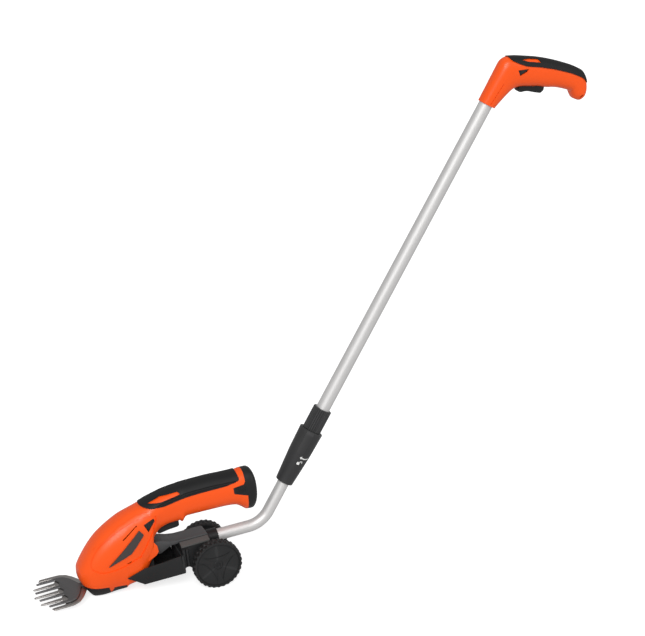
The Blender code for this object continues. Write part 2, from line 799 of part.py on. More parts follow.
def trolley_base():
    """Axle housing, floor, flanks and cradle ribs in one moulding."""
    hull = (
        (-HOUSING_HALF, FLOOR_BOTTOM),
        (HOUSING_HALF, FLOOR_BOTTOM),
        (HOUSING_HALF, HOUSING_SHOULDER),
        (ARM_HALF, HOUSING_TOP),
        (-ARM_HALF, HOUSING_TOP),
        (-HOUSING_HALF, HOUSING_SHOULDER),
    )
    base = piece("trolley_base", front_plate(hull, HOUSING_FRONT, HOUSING_REAR), BLACK, TOOL)
    rear = side_plate(
        (
            (SHOULDER_REAR, FAR),
            (SHOULDER_REAR, SHOULDER_LOW),
            (HOUSING_REAR + FAR, SHOULDER_LOW),
            (HOUSING_REAR + FAR, FAR),
        ),
        -FAR,
        FAR,
    )
    cut(base, helper("housing_rear_cut", rear, TOOL))
    start = (SHOULDER_REAR - SOCKET_WALL, 0, TUBE_W)
    collar = rod(start, (SOCKET_END, 0, TUBE_W), TUBE_R + SOCKET_WALL, 24)
    join(base, helper("socket_collar", collar, TOOL))
    low = FLOOR_BOTTOM + FLOOR_LIFT
    span = WING_INNER + WING_THICK / 3
    floor = box((FLOOR_FRONT, -span, low), (DOCK_WALL[1] - 1.0, span, low + FLOOR_THICK))
    join(base, helper("dock_floor", floor, TOOL))
    span = WING_INNER + WING_THICK / 2
    wall = box((DOCK_WALL[0], -span, low + 0.4), (DOCK_WALL[1], span, DOCK_WALL_TOP))
    join(base, helper("dock_wall", wall, TOOL))
    for name, side in (("left", -1), ("right", 1)):
        join(base, helper(f"dock_wing_{name}", wing(side), TOOL))
        join(base, helper(f"cradle_{name}", cradle_rib(side * CRADLE_Y), TOOL))
    notch = rod((NOTCH[0], -FAR, NOTCH[1]), (NOTCH[0], FAR, NOTCH[1]), NOTCH_R, 20)
    cut(base, helper("dock_notch", notch, TOOL))
    inner = HOUSING_HALF - HOUSING_WALL
    pocket = box(
        (HOUSING_FRONT + HOUSING_WALL, -inner, FLOOR_BOTTOM - 10.0),
        (HOUSING_REAR - HOUSING_WALL, inner, TUBE_W - TUBE_R - HOUSING_WALL),
    )
    cut(base, helper("housing_pocket", pocket, TOOL))
    bore_start = BEND_CORNER_U - TUBE_INSERT - FAR
    bore = rod((bore_start + GAP, 0, TUBE_W), (FAR, 0, TUBE_W), TUBE_R + GAP, 24)
    cut(base, helper("socket_bore", bore, TOOL))
    cut(base, helper("axle_bore", rod((0, -FAR, 0), (0, FAR, 0), AXLE_R + GAP, 16), TOOL))
    screw_hole = rod((TUBE_SCREW_U, -FAR, TUBE_W), (TUBE_SCREW_U, FAR, TUBE_W), TUBE_SCREW_R + GAP, 12)
    cut(base, helper("tube_screw_hole", screw_hole, TOOL))


def top_arm():
    """Cover strip on the housing whose front end turns up into the plug that meets the shears."""
    seat = HOUSING_TOP + GAP
    outline = (
        *ARM_PLUG_EDGE,
        (HOUSING_FRONT, seat + ARM_THICK),
        (ARM_REAR - ARM_THICK, seat + ARM_THICK),
        (ARM_REAR, seat),
        (HOUSING_FRONT - GAP, seat),
        *ARM_UNDERSIDE,
    )
    arm = piece("trolley_top_arm", side_plate(outline, -ARM_HALF, ARM_HALF), GREY_BLACK, TOOL)
    for name, side in (("left", -1), ("right", 1)):
        start = (ARM_FRONT + 6.0, side * CONTACT_Y, CONTACT_W)
        hole = rod(start, (ARM_FRONT - 5.0, side * CONTACT_Y, CONTACT_W), CONTACT_R + GAP, 10)
        cut(arm, helper(f"contact_hole_{name}", hole, TOOL))
        end = (ARM_FRONT - CONTACT_REACH, side * CONTACT_Y, CONTACT_W)
        pin = rod((start[0] - GAP, side * CONTACT_Y, CONTACT_W), end, CONTACT_R, 10)
        piece(f"contact_pin_{name}", pin, BRASS, TOOL)


def lower_tube():
    """Bent tube: a run in the trolley's socket, one bend, and the run that the clamp slides on."""
    turn = POLE_ANGLE
    reach = BEND_RADIUS * math.tan(turn / 2)
    start = BEND_CORNER_U - TUBE_INSERT - FAR + 2 * GAP
    points = [(start, 0.0, TUBE_W)]
    steps = 8
    for k in range(steps + 1):
        angle = turn * k / steps
        u = BEND_CORNER_U - reach + BEND_RADIUS * math.sin(angle)
        points.append((u, 0.0, TUBE_W + BEND_RADIUS * (1 - math.cos(angle))))
    end_u, end_w = pole_to_tool(0.0, CLAMP_Z + TUBE_OVERLAP)
    points.append((end_u, 0.0, end_w))
    tube = piece("lower_tube", tube_bm(points, TUBE_R, TUBE_WALL, 8), ALUMINIUM, TOOL)
    solidify(tube, TUBE_WALL)
    screw_hole = rod((TUBE_SCREW_U, -FAR, TUBE_W), (TUBE_SCREW_U, FAR, TUBE_W), TUBE_SCREW_R + GAP, 12)
    cut(tube, helper("lower_tube_hole", screw_hole, TOOL))
    half = HOUSING_HALF - 0.4
    screw = rod((TUBE_SCREW_U, -half, TUBE_W), (TUBE_SCREW_U, half, TUBE_W), TUBE_SCREW_R, 12)
    piece("tube_screw", screw, BRIGHT_STEEL, TOOL)


# Shears: shells and covers


def half_space(name, side, parent, near):
    """Everything on the other side of the joint plane from a left (-1) or right (1) shell."""
    low, high = sorted((side * GAP / 2, -side * FAR))
    return helper(name, box((-3 * FAR, low, near - FAR), (3 * FAR, high, near + 3 * FAR)), parent)


def screw_set(screws, names, parent, shells, bosses_within):
    """Bosses, holes and screws that draw two half shells together from the right."""
    left, right = shells
    bosses = merged(*(rod((u, -FAR, w), (u, FAR, w), BOSS_R, 12) for u, w in screws))
    posts = helper(f"{names}_bosses", bosses, parent)
    keep(posts, bosses_within)
    join(left, posts)
    join(right, posts)
    end = SCREW_REACH + GAP
    seat = SCREW_REACH - GAP
    holes = merged(*(rod((u, -end, w), (u, end, w), SCREW_R + GAP, 12) for u, w in screws))
    wells = merged(*(rod((u, seat, w), (u, FAR, w), SCREW_HEAD_R + GAP, 12) for u, w in screws))
    hole_cutter = helper(f"{names}_holes", holes, parent)
    recess_cutter = helper(f"{names}_recesses", wells, parent)
    for number, (u, w) in enumerate(screws, 1):
        profile = (
            (0.0, SCREW_REACH + SCREW_HEAD),
            (SCREW_HEAD_R, SCREW_REACH + SCREW_HEAD),
            (SCREW_HEAD_R, SCREW_REACH),
            (SCREW_R, SCREW_REACH),
            (SCREW_R, -SCREW_REACH),
            (0.0, -SCREW_REACH),
        )
        turned(f"{names}_{number}", profile, BRIGHT_STEEL, parent, 12, (u, 0.0, w), "Y")
    return hole_cutter, recess_cutter


def cap_region(grow):
    """Side outline of everything behind the joint between the shells and the rear cap."""
    edge = shifted(CAP_EDGE, -grow, 0.0)
    tongue_top, tongue_low = edge[3], edge[4]
    edge[2] = (edge[2][0], edge[2][1] + grow)
    edge[3] = (tongue_top[0], tongue_top[1] + grow)
    edge[4] = (tongue_low[0], tongue_low[1] - grow)
    return [*edge, (CAP_REAR, CAP_EDGE[-1][1]), (CAP_REAR, CAP_EDGE[0][1])]


def shoe_region(grow, floor):
    """Side outline of everything below the joint between the shells and the glide shoe."""
    edge = shifted(SHOE_EDGE, 0.0, grow)
    rear_u = edge[-1][0] + grow
    edge[-1] = (rear_u, edge[-1][1])
    front_u = edge[0][0]
    if floor:
        return [(front_u, ground_w(front_u)), (rear_u, ground_w(rear_u)), *reversed(edge)]
    return [(front_u, -FAR), (rear_u, -FAR), *reversed(edge)]


def blade_slot():
    """Plan outline of the mouth that the blades and the gear side of the cutter work in."""
    rear = COMB_TAIL_U + 2.0
    flare = [(u, BLADE_SLOT_HALF + more) for u, more in BLADE_SLOT_FLARE]
    far_side = [*flare, (rear, BLADE_SLOT_HALF)]
    return [(u, -y) for u, y in far_side] + far_side[::-1]


CUTTER_W = COMB_W + COMB_THICK + GAP
SLOT_LOW = COMB_W - GAP
SLOT_HIGH = CUTTER_W + CUTTER_THICK + GAP
PLATE_W = GEAR_W + GEAR_THICK + GAP
MOTOR_W = PLATE_W + PLATE_THICK + GAP
PINION_U = GEAR_U + GEAR_MODULE * (GEAR_TEETH + PINION_TEETH) / 2


def shell_openings():
    """Trigger slot, lock button window, contact opening and blade mouth."""
    trigger = box(
        (TRIGGER_FRONT - 2 * GAP, -TRIGGER_HALF - GAP, TRIGGER_SLOT[0]),
        (TRIGGER_REAR + 2 * GAP, TRIGGER_HALF + GAP, TRIGGER_SLOT[1]),
    )
    lock = side_plate(grown(LOCK_EDGE, BUTTON_CLEAR), -FAR, FAR)
    half = CONTACT_Y + 2 * CONTACT_R
    reach, rise = CONTACT_WINDOW
    low, high = (ARM_FRONT - reach, -half, CONTACT_W - rise), (ARM_FRONT + reach, half, CONTACT_W + rise)
    contacts = box(low, high)
    blades = flat((blade_slot(),), SLOT_LOW, SLOT_HIGH)
    return helper("shell_openings", merged(trigger, lock, contacts, blades), TOOL)


def inner_ribs():
    """Ribs of the shells that carry the switch and the trigger spring."""
    ribs = []
    front, rear = SWITCH_SPAN
    for side in (-1, 1):
        near, far = sorted((side * (SWITCH_HALF + GAP), side * FAR))
        ribs.append(box((front, near, SWITCH_W + 1.0), (rear, far, SWITCH_W + SWITCH_HEIGHT - 1.0)))
    front, rear = TRIGGER_SPRING_U - SPRING_RIB_HALF, TRIGGER_SPRING_U + SPRING_RIB_HALF
    ribs.append(box((front, -FAR, SPRING_TOP_W), (rear, FAR, SPRING_TOP_W + SPRING_RIB)))
    return helper("shell_ribs", merged(*ribs), TOOL)


def shears_shells():
    core = helper("body_core", loft(BODY_RIBS, -CORE_INSET), TOOL)
    hollow = helper("body_hollow", loft(BODY_RIBS[1:-1], -SHELL_WALL), TOOL)
    shells = [piece(f"shell_{name}", loft(BODY_RIBS, 0.0), ORANGE, TOOL) for name in ("left", "right")]
    shoe_cut = helper("shoe_cut", side_plate(shoe_region(GAP, False), -FAR, FAR), TOOL)
    cap_cut = helper("cap_cut", side_plate(cap_region(GAP), -FAR, FAR), TOOL)
    openings = shell_openings()
    for shell in shells:
        cut(shell, hollow, shoe_cut, cap_cut, openings)
    ribs = inner_ribs()
    keep(ribs, core)
    for side, shell in zip((-1, 1), shells):
        edges = sorted((side * CHEEK_OUTER, side * (CHEEK_OUTER - CHEEK_THICK)))
        join(shell, ribs, helper(f"cheek_{shell.name}", side_plate(CHEEK_EDGE, *edges), TOOL))
    holes = screw_set(SHELL_SCREWS, "shell_screw", TOOL, shells, core)
    for name, side, shell in (("left", -1, shells[0]), ("right", 1, shells[1])):
        cut(shell, half_space(f"{name}_half", side, TOOL, 0.0), holes[0])
    cut(shells[1], holes[1])
    return hollow


def rear_cap(hollow):
    """Black end of the grip with a tongue that reaches forward on each side."""
    cap = piece("rear_cap", loft(ribs_between(CAP_FRONT, FAR), 0.0), BLACK, TOOL)
    cut(cap, hollow)
    keep(cap, helper("cap_keep", side_plate(cap_region(0.0), -FAR, FAR), TOOL))


def glide_shoe():
    """Black shoe under the nose that slides on the ground and carries the comb and the gear plate."""
    shoe = piece("glide_shoe", loft(ribs_between(*SHOE_SPAN), 0.0), BLACK, TOOL)
    keep(shoe, helper("shoe_keep", side_plate(shoe_region(0.0, True), -FAR, FAR), TOOL))
    posts = [rod((u, y, POST_FOOT), (u, y, PLATE_W - GAP), POST_R, 10) for u, y in plate_posts()]
    join(shoe, helper("shoe_posts", merged(*posts), TOOL))
    mouth = flat((blade_slot(),), SLOT_LOW, FAR)
    foot = (BLADE_PIVOT_U, 0, COMB_W - PIVOT_DEPTH - GAP)
    pivot = rod(foot, (BLADE_PIVOT_U, 0, COMB_W), PIVOT_R + GAP, 16)
    cut(shoe, helper("shoe_mouth", mouth, TOOL), helper("shoe_pivot_hole", pivot, TOOL))


def plate_posts():
    y = BLADE_SLOT_HALF + POST_R + GAP
    return [(u, side * y) for u in (GEAR_U - POST_REACH[0], GEAR_U + POST_REACH[1]) for side in (-1, 1)]


def covers():
    """Soft grip pad and the two bare badge plates."""
    pad = piece("grip_pad", loft(ribs_between(*PAD_SPAN), GAP + PAD_WALL), SOFT_BLACK, TOOL)
    cut(pad, helper("pad_seat", loft(ribs_between(*PAD_SEAT_SPAN), GAP), TOOL))
    keep(pad, helper("pad_keep", side_plate(PAD_EDGE, -FAR, FAR), TOOL))
    cut(pad, helper("pad_window", side_plate(PAD_WINDOW, -FAR, FAR), TOOL))
    for name, side in (("left", -1), ("right", 1)):
        plate = piece(f"badge_{name}", loft(ribs_between(*BADGE_SPAN), GAP + BADGE_WALL), BADGE, TOOL)
        cut(plate, helper(f"badge_{name}_seat", loft(ribs_between(*BADGE_SEAT_SPAN), GAP), TOOL))
        edges = sorted((side * BADGE_INNER_Y, side * FAR))
        keep(plate, helper(f"badge_{name}_keep", side_plate(BADGE_EDGE, *edges), TOOL))


# Blades and drive


def comb_outline():
    """Plan outline of the fixed comb: neck, shoulders and five tapering tines."""
    root, tip_half = COMB_TINE_HALF
    reach = (COMB_TINES - 1) // 2
    outer_tip = COMB_TIP_U + TIP_BOW * reach * reach
    half = [
        (COMB_TAIL_U, NECK_HALF),
        (COMB_NECK_U, NECK_HALF),
        *COMB_SHOULDER,
        (COMB_ROOT_U, COMB_HALF),
        (outer_tip + OUTER_TIP_BEVEL, COMB_HALF),
        (outer_tip, COMB_HALF - OUTER_TINE_WIDTH[1]),
        (COMB_ROOT_U, COMB_HALF - OUTER_TINE_WIDTH[0]),
    ]
    points = list(half)
    for k in range(reach - 1, -reach, -1):
        middle = k * TINE_PITCH
        tip = COMB_TIP_U + TIP_BOW * k * k
        points.append((COMB_ROOT_U + COMB_NOTCH, middle + TINE_PITCH / 2))
        points += [(COMB_ROOT_U, middle + root), (tip, middle + tip_half)]
        points += [(tip, middle - tip_half), (COMB_ROOT_U, middle - root)]
    points.append((COMB_ROOT_U + COMB_NOTCH, (0.5 - reach) * TINE_PITCH))
    return points + [(u, -y) for u, y in reversed(half)]


def cutter_outline():
    """Plan outline of the moving blade: four tines, a round plate, and a tail with an open yoke."""
    half = [
        (CUTTER_TAIL_U, YOKE_HALF),
        (CUTTER_TAIL_U, CUTTER_TAIL_HALF),
        (CUTTER_NECK_U, CUTTER_TAIL_HALF),
        *CUTTER_SHOULDER,
    ]
    root, tip_half = CUTTER_TINE_HALF
    points = list(half)
    count = COMB_TINES - 1
    for index in range(count):
        k = (count - 1) / 2 - index
        middle = k * TINE_PITCH
        tip = CUTTER_TIP_U + TIP_BOW * k * k
        points += [
            (CUTTER_ROOT_U, middle + root),
            (tip, middle + tip_half),
            (tip, middle - tip_half),
            (CUTTER_ROOT_U, middle - root),
        ]
        if index < count - 1:
            points.append((CUTTER_ROOT_U + CUTTER_NOTCH, middle - TINE_PITCH / 2))
    points += [(u, -y) for u, y in reversed(half)]
    yoke_end = CUTTER_TAIL_U - YOKE_DEPTH
    return points + [(yoke_end, -YOKE_HALF), (yoke_end, YOKE_HALF)]


def blades():
    hole = circle((BLADE_PIVOT_U, 0.0), PIVOT_R + GAP)
    comb = flat((comb_outline(), hole), COMB_W, COMB_W + COMB_THICK)
    piece("comb_blade", comb, STEEL, TOOL)
    cutter = flat((cutter_outline(), hole), CUTTER_W, CUTTER_W + CUTTER_THICK)
    pivot = Vector((BLADE_PIVOT_U, 0.0, CUTTER_W))
    bmesh.ops.rotate(cutter, cent=pivot, matrix=Matrix.Rotation(CUTTER_REST, 3, "Z"), verts=cutter.verts)
    piece("cutter_blade", cutter, DARK_STEEL, TOOL, pivot)
    top = CUTTER_W + CUTTER_THICK + GAP
    profile = (
        (0.0, top + PIVOT_HEAD),
        (PIVOT_HEAD_R, top + PIVOT_HEAD),
        (PIVOT_HEAD_R, top),
        (PIVOT_R, top),
        (PIVOT_R, COMB_W - PIVOT_DEPTH),
        (0.0, COMB_W - PIVOT_DEPTH),
    )
    turned("blade_pivot_screw", profile, BRIGHT_STEEL, TOOL, 16, (BLADE_PIVOT_U, 0.0, 0.0))


def gear_outline(teeth, centre, phase):
    """Toothed outline with slack flanks, four points to a tooth."""
    pitch_r = GEAR_MODULE * teeth / 2
    tip, root = pitch_r + 0.75 * GEAR_MODULE, pitch_r - 1.1 * GEAR_MODULE
    step = 2 * math.pi / teeth
    points = []
    for k in range(teeth):
        middle = phase + k * step
        for radius, share in ((root, -0.31), (tip, -0.10), (tip, 0.10), (root, 0.31)):
            angle = middle + share * step
            points.append((centre[0] + radius * math.cos(angle), centre[1] + radius * math.sin(angle)))
    return points


def drive_train():
    """Reduction gear with its crank pin, motor pinion, motor and the plate that carries them."""
    low, high = GEAR_W, GEAR_W + GEAR_THICK
    centre = (GEAR_U, 0.0)
    bore = circle(centre, GEAR_SHAFT_R + GAP, 12)
    wheel_bm = flat((gear_outline(GEAR_TEETH, centre, 0.0), bore), low, high)
    gear = piece("drive_gear", wheel_bm, NYLON, TOOL, (GEAR_U, 0, low))
    reach = GEAR_U - BLADE_PIVOT_U
    offset = reach * math.sin(CUTTER_REST)
    along = reach * math.cos(CUTTER_REST) + math.sqrt(CRANK_RADIUS**2 - offset**2)
    pin_u, pin_y = BLADE_PIVOT_U + along * math.cos(CUTTER_REST), along * math.sin(CUTTER_REST)
    pin_low = CUTTER_W + CUTTER_THICK + GAP
    crank = rod((pin_u, pin_y, pin_low), (pin_u, pin_y, low + 1.0), CRANK_PIN_R, 12)
    join(gear, helper("crank_pin", crank, TOOL))
    motor_axis = (PINION_U, 0.0)
    phase = math.pi + math.pi / PINION_TEETH
    pinion_bore = circle(motor_axis, MOTOR_SHAFT_R + GAP, 12)
    pinion = flat((gear_outline(PINION_TEETH, motor_axis, phase), pinion_bore), low, high)
    piece("motor_pinion", pinion, BRASS, TOOL, (PINION_U, 0, low))
    shaft_top = MOTOR_W + SHAFT_DEPTH
    shaft = rod((PINION_U, 0, low), (PINION_U, 0, shaft_top), MOTOR_SHAFT_R, 12)
    piece("motor_shaft", shaft, BRIGHT_STEEL, TOOL, (PINION_U, 0, low))
    can_bm = rod((PINION_U, 0, MOTOR_W), (PINION_U, 0, MOTOR_W + MOTOR_LENGTH), MOTOR_R, 24)
    can = piece("motor", can_bm, BRIGHT_STEEL, TOOL)
    well = rod((PINION_U, 0, PLATE_W), (PINION_U, 0, shaft_top + GAP), MOTOR_SHAFT_R + GAP, 12)
    cut(can, helper("motor_well", well, TOOL))
    front, rear = GEAR_U - PLATE_REACH[0], PINION_U + PLATE_REACH[1]
    plate_edge = ((front, -PLATE_HALF), (rear, -PLATE_HALF), (rear, PLATE_HALF), (front, PLATE_HALF))
    holes = (circle(centre, GEAR_SHAFT_R + GAP, 12), circle(motor_axis, MOTOR_SHAFT_R + 2.0, 12))
    piece("gear_plate", flat((plate_edge, *holes), PLATE_W, PLATE_W + PLATE_THICK), BRIGHT_STEEL, TOOL)
    head = PLATE_W + PLATE_THICK + GAP
    profile = (
        (0.0, head + SHAFT_HEAD),
        (2 * GEAR_SHAFT_R, head + SHAFT_HEAD),
        (2 * GEAR_SHAFT_R, head),
        (GEAR_SHAFT_R, head),
        (GEAR_SHAFT_R, low),
        (0.0, low),
    )
    turned("gear_shaft", profile, BRIGHT_STEEL, TOOL, 12, (GEAR_U, 0.0, 0.0))


# Controls and electrics of the shears


def spring_bm(foot, direction, length):
    """A small coil spring from its foot along a direction."""
    per_turn = 8
    count = SPRING_TURNS * per_turn
    turn = Vector((0.0, 0.0, 1.0)).rotation_difference(Vector(direction)).to_matrix()
    curve = bpy.data.curves.new("coil", "CURVE")
    curve.dimensions = "3D"
    curve.bevel_depth = SPRING_WIRE_R
    curve.bevel_resolution = 1
    curve.use_fill_caps = True
    spline = curve.splines.new("POLY")
    spline.points.add(count)
    rise = length - 2 * SPRING_WIRE_R
    for k, point in enumerate(spline.points):
        angle = 2 * math.pi * k / per_turn
        height = SPRING_WIRE_R + rise * k / count
        local = Vector((SPRING_R * math.cos(angle), SPRING_R * math.sin(angle), height))
        point.co = (*(Vector(foot) + turn @ local), 1.0)
    return curve_to_bm(curve)


def shears_controls():
    body_top = TRIGGER_TOP - TRIGGER_FLANGE / 2
    outline = ((TRIGGER_REAR, body_top), (TRIGGER_FRONT, body_top), *TRIGGER_EDGE)
    trigger = piece("trigger", side_plate(outline, -TRIGGER_HALF, TRIGGER_HALF), BLACK, TOOL)
    over = TRIGGER_HALF + TRIGGER_FLANGE_OVER
    flange = box(
        (TRIGGER_FRONT + 4.0, -over, TRIGGER_TOP - TRIGGER_FLANGE),
        (TRIGGER_REAR - 2.0, over, TRIGGER_TOP),
    )
    join(trigger, helper("trigger_flange", flange, TOOL))
    foot = (TRIGGER_SPRING_U, 0.0, TRIGGER_TOP + GAP)
    coil = spring_bm(foot, (0, 0, 1), TRIGGER_SPRING_LENGTH)
    piece("trigger_spring", coil, BRIGHT_STEEL, TOOL)
    piece("lock_button", side_plate(LOCK_EDGE, -LOCK_HALF, LOCK_HALF), BLACK, TOOL)


def grip_middle(front, rear):
    """Mean height of the middle of the grip between two places along it."""
    heights = [(rib[0][1] + rib[1][1]) / 2 for rib in ribs_between(front, rear)]
    return sum(heights) / len(heights)


def grip_roof(front, rear):
    """Mean height of the grip's top between two places along it."""
    heights = [rib[0][1] for rib in ribs_between(front, rear)]
    return sum(heights) / len(heights)


def shears_electrics():
    core = helper("body_inside", loft(BODY_RIBS, -SHELL_WALL - CORE_INSET), TOOL)
    front, rear = SWITCH_SPAN
    switch = box((front, -SWITCH_HALF, SWITCH_W), (rear, SWITCH_HALF, SWITCH_W + SWITCH_HEIGHT))
    piece("power_switch", switch, BLACK, TOOL)
    front, rear = BOARD_SPAN
    board_low = grip_roof(front, rear) - BOARD_DROP
    board_bm = box((front, -FAR, board_low), (rear, FAR, board_low + BOARD_THICK))
    board = piece("charge_board", board_bm, BOARD_GREEN, TOOL)
    keep(board, core)
    reach = ARM_FRONT - CONTACT_REACH - GAP
    half = CHEEK_OUTER - CHEEK_THICK - GAP
    depth, rise = CONTACT_BLOCK
    block_bm = box((reach - depth, -half, CONTACT_W - rise), (reach, half, CONTACT_W + rise))
    block = piece("contact_block", block_bm, BLACK, TOOL)
    keep(block, core)
    rear = CELL_FRONT + CELL_LENGTH
    middle = grip_middle(CELL_FRONT, rear)
    low, high = middle - HOLDER_HALF, middle + HOLDER_HALF
    web = HOLDER_WALL / 2
    outline = (
        (CELL_FRONT - GAP - HOLDER_WALL, low),
        (CELL_FRONT - GAP, low),
        (CELL_FRONT - GAP, middle - web),
        (rear + GAP, middle - web),
        (rear + GAP, low),
        (rear + GAP + HOLDER_WALL, low),
        (rear + GAP + HOLDER_WALL, high),
        (rear + GAP, high),
        (rear + GAP, middle + web),
        (CELL_FRONT - GAP, middle + web),
        (CELL_FRONT - GAP, high),
        (CELL_FRONT - GAP - HOLDER_WALL, high),
    )
    holder = piece("battery_holder", side_plate(outline, -FAR, FAR), GREY_BLACK, TOOL)
    keep(holder, core)
    for name, side in (("lower", -1), ("upper", 1)):
        w = middle + side * (web + GAP + CELL_R)
        cell = rod((CELL_FRONT, 0, w), (rear, 0, w), CELL_R, 20)
        piece(f"battery_cell_{name}", cell, CELL_WRAP, TOOL)


# Pole and clamp


def upper_pole():
    low = CLAMP_Z + UPPER_TUBE_START
    end = low + UPPER_TUBE_LENGTH
    tube = tube_bm(((0, 0, low), (0, 0, end)), UPPER_TUBE_R, UPPER_TUBE_WALL, 10)
    solidify(piece("upper_tube", tube, ALUMINIUM, POLE), UPPER_TUBE_WALL)
    bottom = CLAMP_Z + SLEEVE_LENGTH + GAP
    top = bottom + COLLAR_LENGTH
    bore = UPPER_TUBE_R + GAP
    hole = circle((0, 0), bore, 24)
    ring = flat((lug_outline(COLLAR_R, COLLAR_RIB_DEPTH, COLLAR_RIBS), hole), bottom, top)
    collar = piece("clamp_collar", ring, BLACK, POLE)
    spigot = flat((circle((0, 0), SPIGOT_R, 24), hole), bottom - SPIGOT_LENGTH, bottom + 1.0)
    join(collar, helper("collar_spigot", spigot, POLE))
    sleeve_bore = TUBE_R + GAP
    profile = (
        (SLEEVE_TOP_R - 0.8, SLEEVE_LENGTH),
        (SLEEVE_TOP_R, SLEEVE_LENGTH - 0.8),
        (SLEEVE_MID_R, SLEEVE_MID_Z),
        (SLEEVE_LOW_R, 0.8),
        (SLEEVE_LOW_R - 0.8, 0.0),
        (sleeve_bore, 0.0),
        (sleeve_bore, SLEEVE_LIP),
        (SLEEVE_BORE_R, SLEEVE_LIP + 9.0),
        (SLEEVE_BORE_R, SLEEVE_LENGTH),
    )
    turned("twist_sleeve", profile, BLACK, POLE, 32, (0.0, 0.0, CLAMP_Z))
    start = SLEEVE_LIP + 2.0
    profile = (
        (COLLET_R, start + COLLET_LENGTH),
        (COLLET_R, start + 9.0),
        (COLLET_TIP_R, start),
        (TUBE_R + GAP, start),
        (TUBE_R + GAP, start + COLLET_LENGTH),
    )
    collet = turned("clamp_collet", profile, NYLON, POLE, 24, (0.0, 0.0, CLAMP_Z))
    half = COLLET_SLOT / 2
    slot = box((0.0, -half, CLAMP_Z - 5.0), (COLLET_SLOT_REACH, half, CLAMP_Z + start + COLLET_LENGTH + 5.0))
    cut(collet, helper("collet_slot", slot, POLE))


# Top handle


def lifted(outline):
    return shifted(outline, 0.0, HANDLE_Z)


def handle_ribs():
    ribs = []
    for top, bottom, *widths in HANDLE_RIBS:
        ribs.append(((top[0], top[1] + HANDLE_Z), (bottom[0], bottom[1] + HANDLE_Z), *widths))
    return ribs


def handle_shells():
    sections = handle_ribs()
    core = helper("handle_core", loft(sections, -CORE_INSET), POLE)
    hollow = helper("handle_hollow", loft(sections[1:-1], -HANDLE_WALL), POLE)
    shells = [piece(f"handle_shell_{name}", loft(sections, 0.0), ORANGE, POLE) for name in ("left", "right")]
    ribs = handle_inner_ribs()
    keep(ribs, core)
    for shell in shells:
        cut(shell, hollow)
        join(shell, ribs)
    screws = lifted(HANDLE_SCREWS)
    holes = screw_set(screws, "handle_screw", POLE, shells, core)
    tube_top = CLAMP_Z + UPPER_TUBE_START + UPPER_TUBE_LENGTH
    bore = rod((0, 0, HANDLE_Z - HANDLE_SOCKET), (0, 0, tube_top + GAP), UPPER_TUBE_R + GAP, 24)
    tube_cut = helper("handle_bore", bore, POLE)
    lock = side_plate(grown(lifted(HANDLE_LOCK_EDGE), BUTTON_CLEAR), -FAR, FAR)
    half = HANDLE_TRIGGER_HALF + HANDLE_SLOT_CLEAR
    slot = side_plate(handle_slot_edge(), -half, half)
    openings = helper("handle_openings", merged(lock, slot), POLE)
    for name, side, shell in (("left", -1, shells[0]), ("right", 1, shells[1])):
        half = half_space(f"handle_{name}_half", side, POLE, HANDLE_Z)
        cut(shell, half, tube_cut, openings, holes[0])
    cut(shells[1], holes[1])
    pad = piece("handle_pad", loft(sections[2:], GAP + PAD_WALL), SOFT_BLACK, POLE)
    cut(pad, helper("handle_pad_seat", loft(sections[1:], GAP), POLE))
    keep(pad, helper("handle_pad_keep", side_plate(lifted(HANDLE_PAD_EDGE), -FAR, FAR), POLE))


SLIDE = Vector((-math.sin(HANDLE_SLOPE), math.cos(HANDLE_SLOPE)))
ALONG = Vector((math.cos(HANDLE_SLOPE), math.sin(HANDLE_SLOPE)))
HANDLE_TRIGGER_TOP = max(SLIDE.dot(Vector(point)) for point in HANDLE_TRIGGER_EDGE)
HANDLE_SWITCH_LOW = HANDLE_TRIGGER_TOP + HANDLE_TRIGGER_TRAVEL + GAP


def sloped_box(along, rise):
    """Side outline of a block turned with the trigger, in the pole frame."""
    corners = ((along[0], rise[0]), (along[1], rise[0]), (along[1], rise[1]), (along[0], rise[1]))
    return lifted([tuple(ALONG * a + SLIDE * b) for a, b in corners])


def handle_slot_edge():
    """Side outline of the slot that the trigger moves in."""
    reach = [ALONG.dot(Vector(point)) for point in HANDLE_TRIGGER_EDGE]
    rise = [SLIDE.dot(Vector(point)) for point in HANDLE_TRIGGER_EDGE]
    along = (min(reach) - HANDLE_SLOT_CLEAR, max(reach) + HANDLE_SLOT_CLEAR)
    return sloped_box(along, (min(rise) - HANDLE_SLOT_DROP, max(rise) + HANDLE_SLOT_CLEAR))


def handle_inner_ribs():
    """Ribs of the handle shells that carry the switch and the trigger spring."""
    low = HANDLE_SWITCH_LOW
    along = (HANDLE_SPRING_FOOT[0] - SPRING_SEAT_HALF, HANDLE_SPRING_FOOT[0] + SPRING_SEAT_HALF)
    seat = sloped_box(along, (HANDLE_SPRING_TOP, HANDLE_SPRING_TOP + SPRING_RIB))
    ribs = [side_plate(seat, -FAR, FAR)]
    clasp = sloped_box(HANDLE_SWITCH_ALONG, (low + 1.0, low + SWITCH_HEIGHT - 1.0))
    for side in (-1, 1):
        edges = sorted((side * (SWITCH_HALF + GAP), side * FAR))
        ribs.append(side_plate(clasp, *edges))
    return helper("handle_ribs", merged(*ribs), POLE)


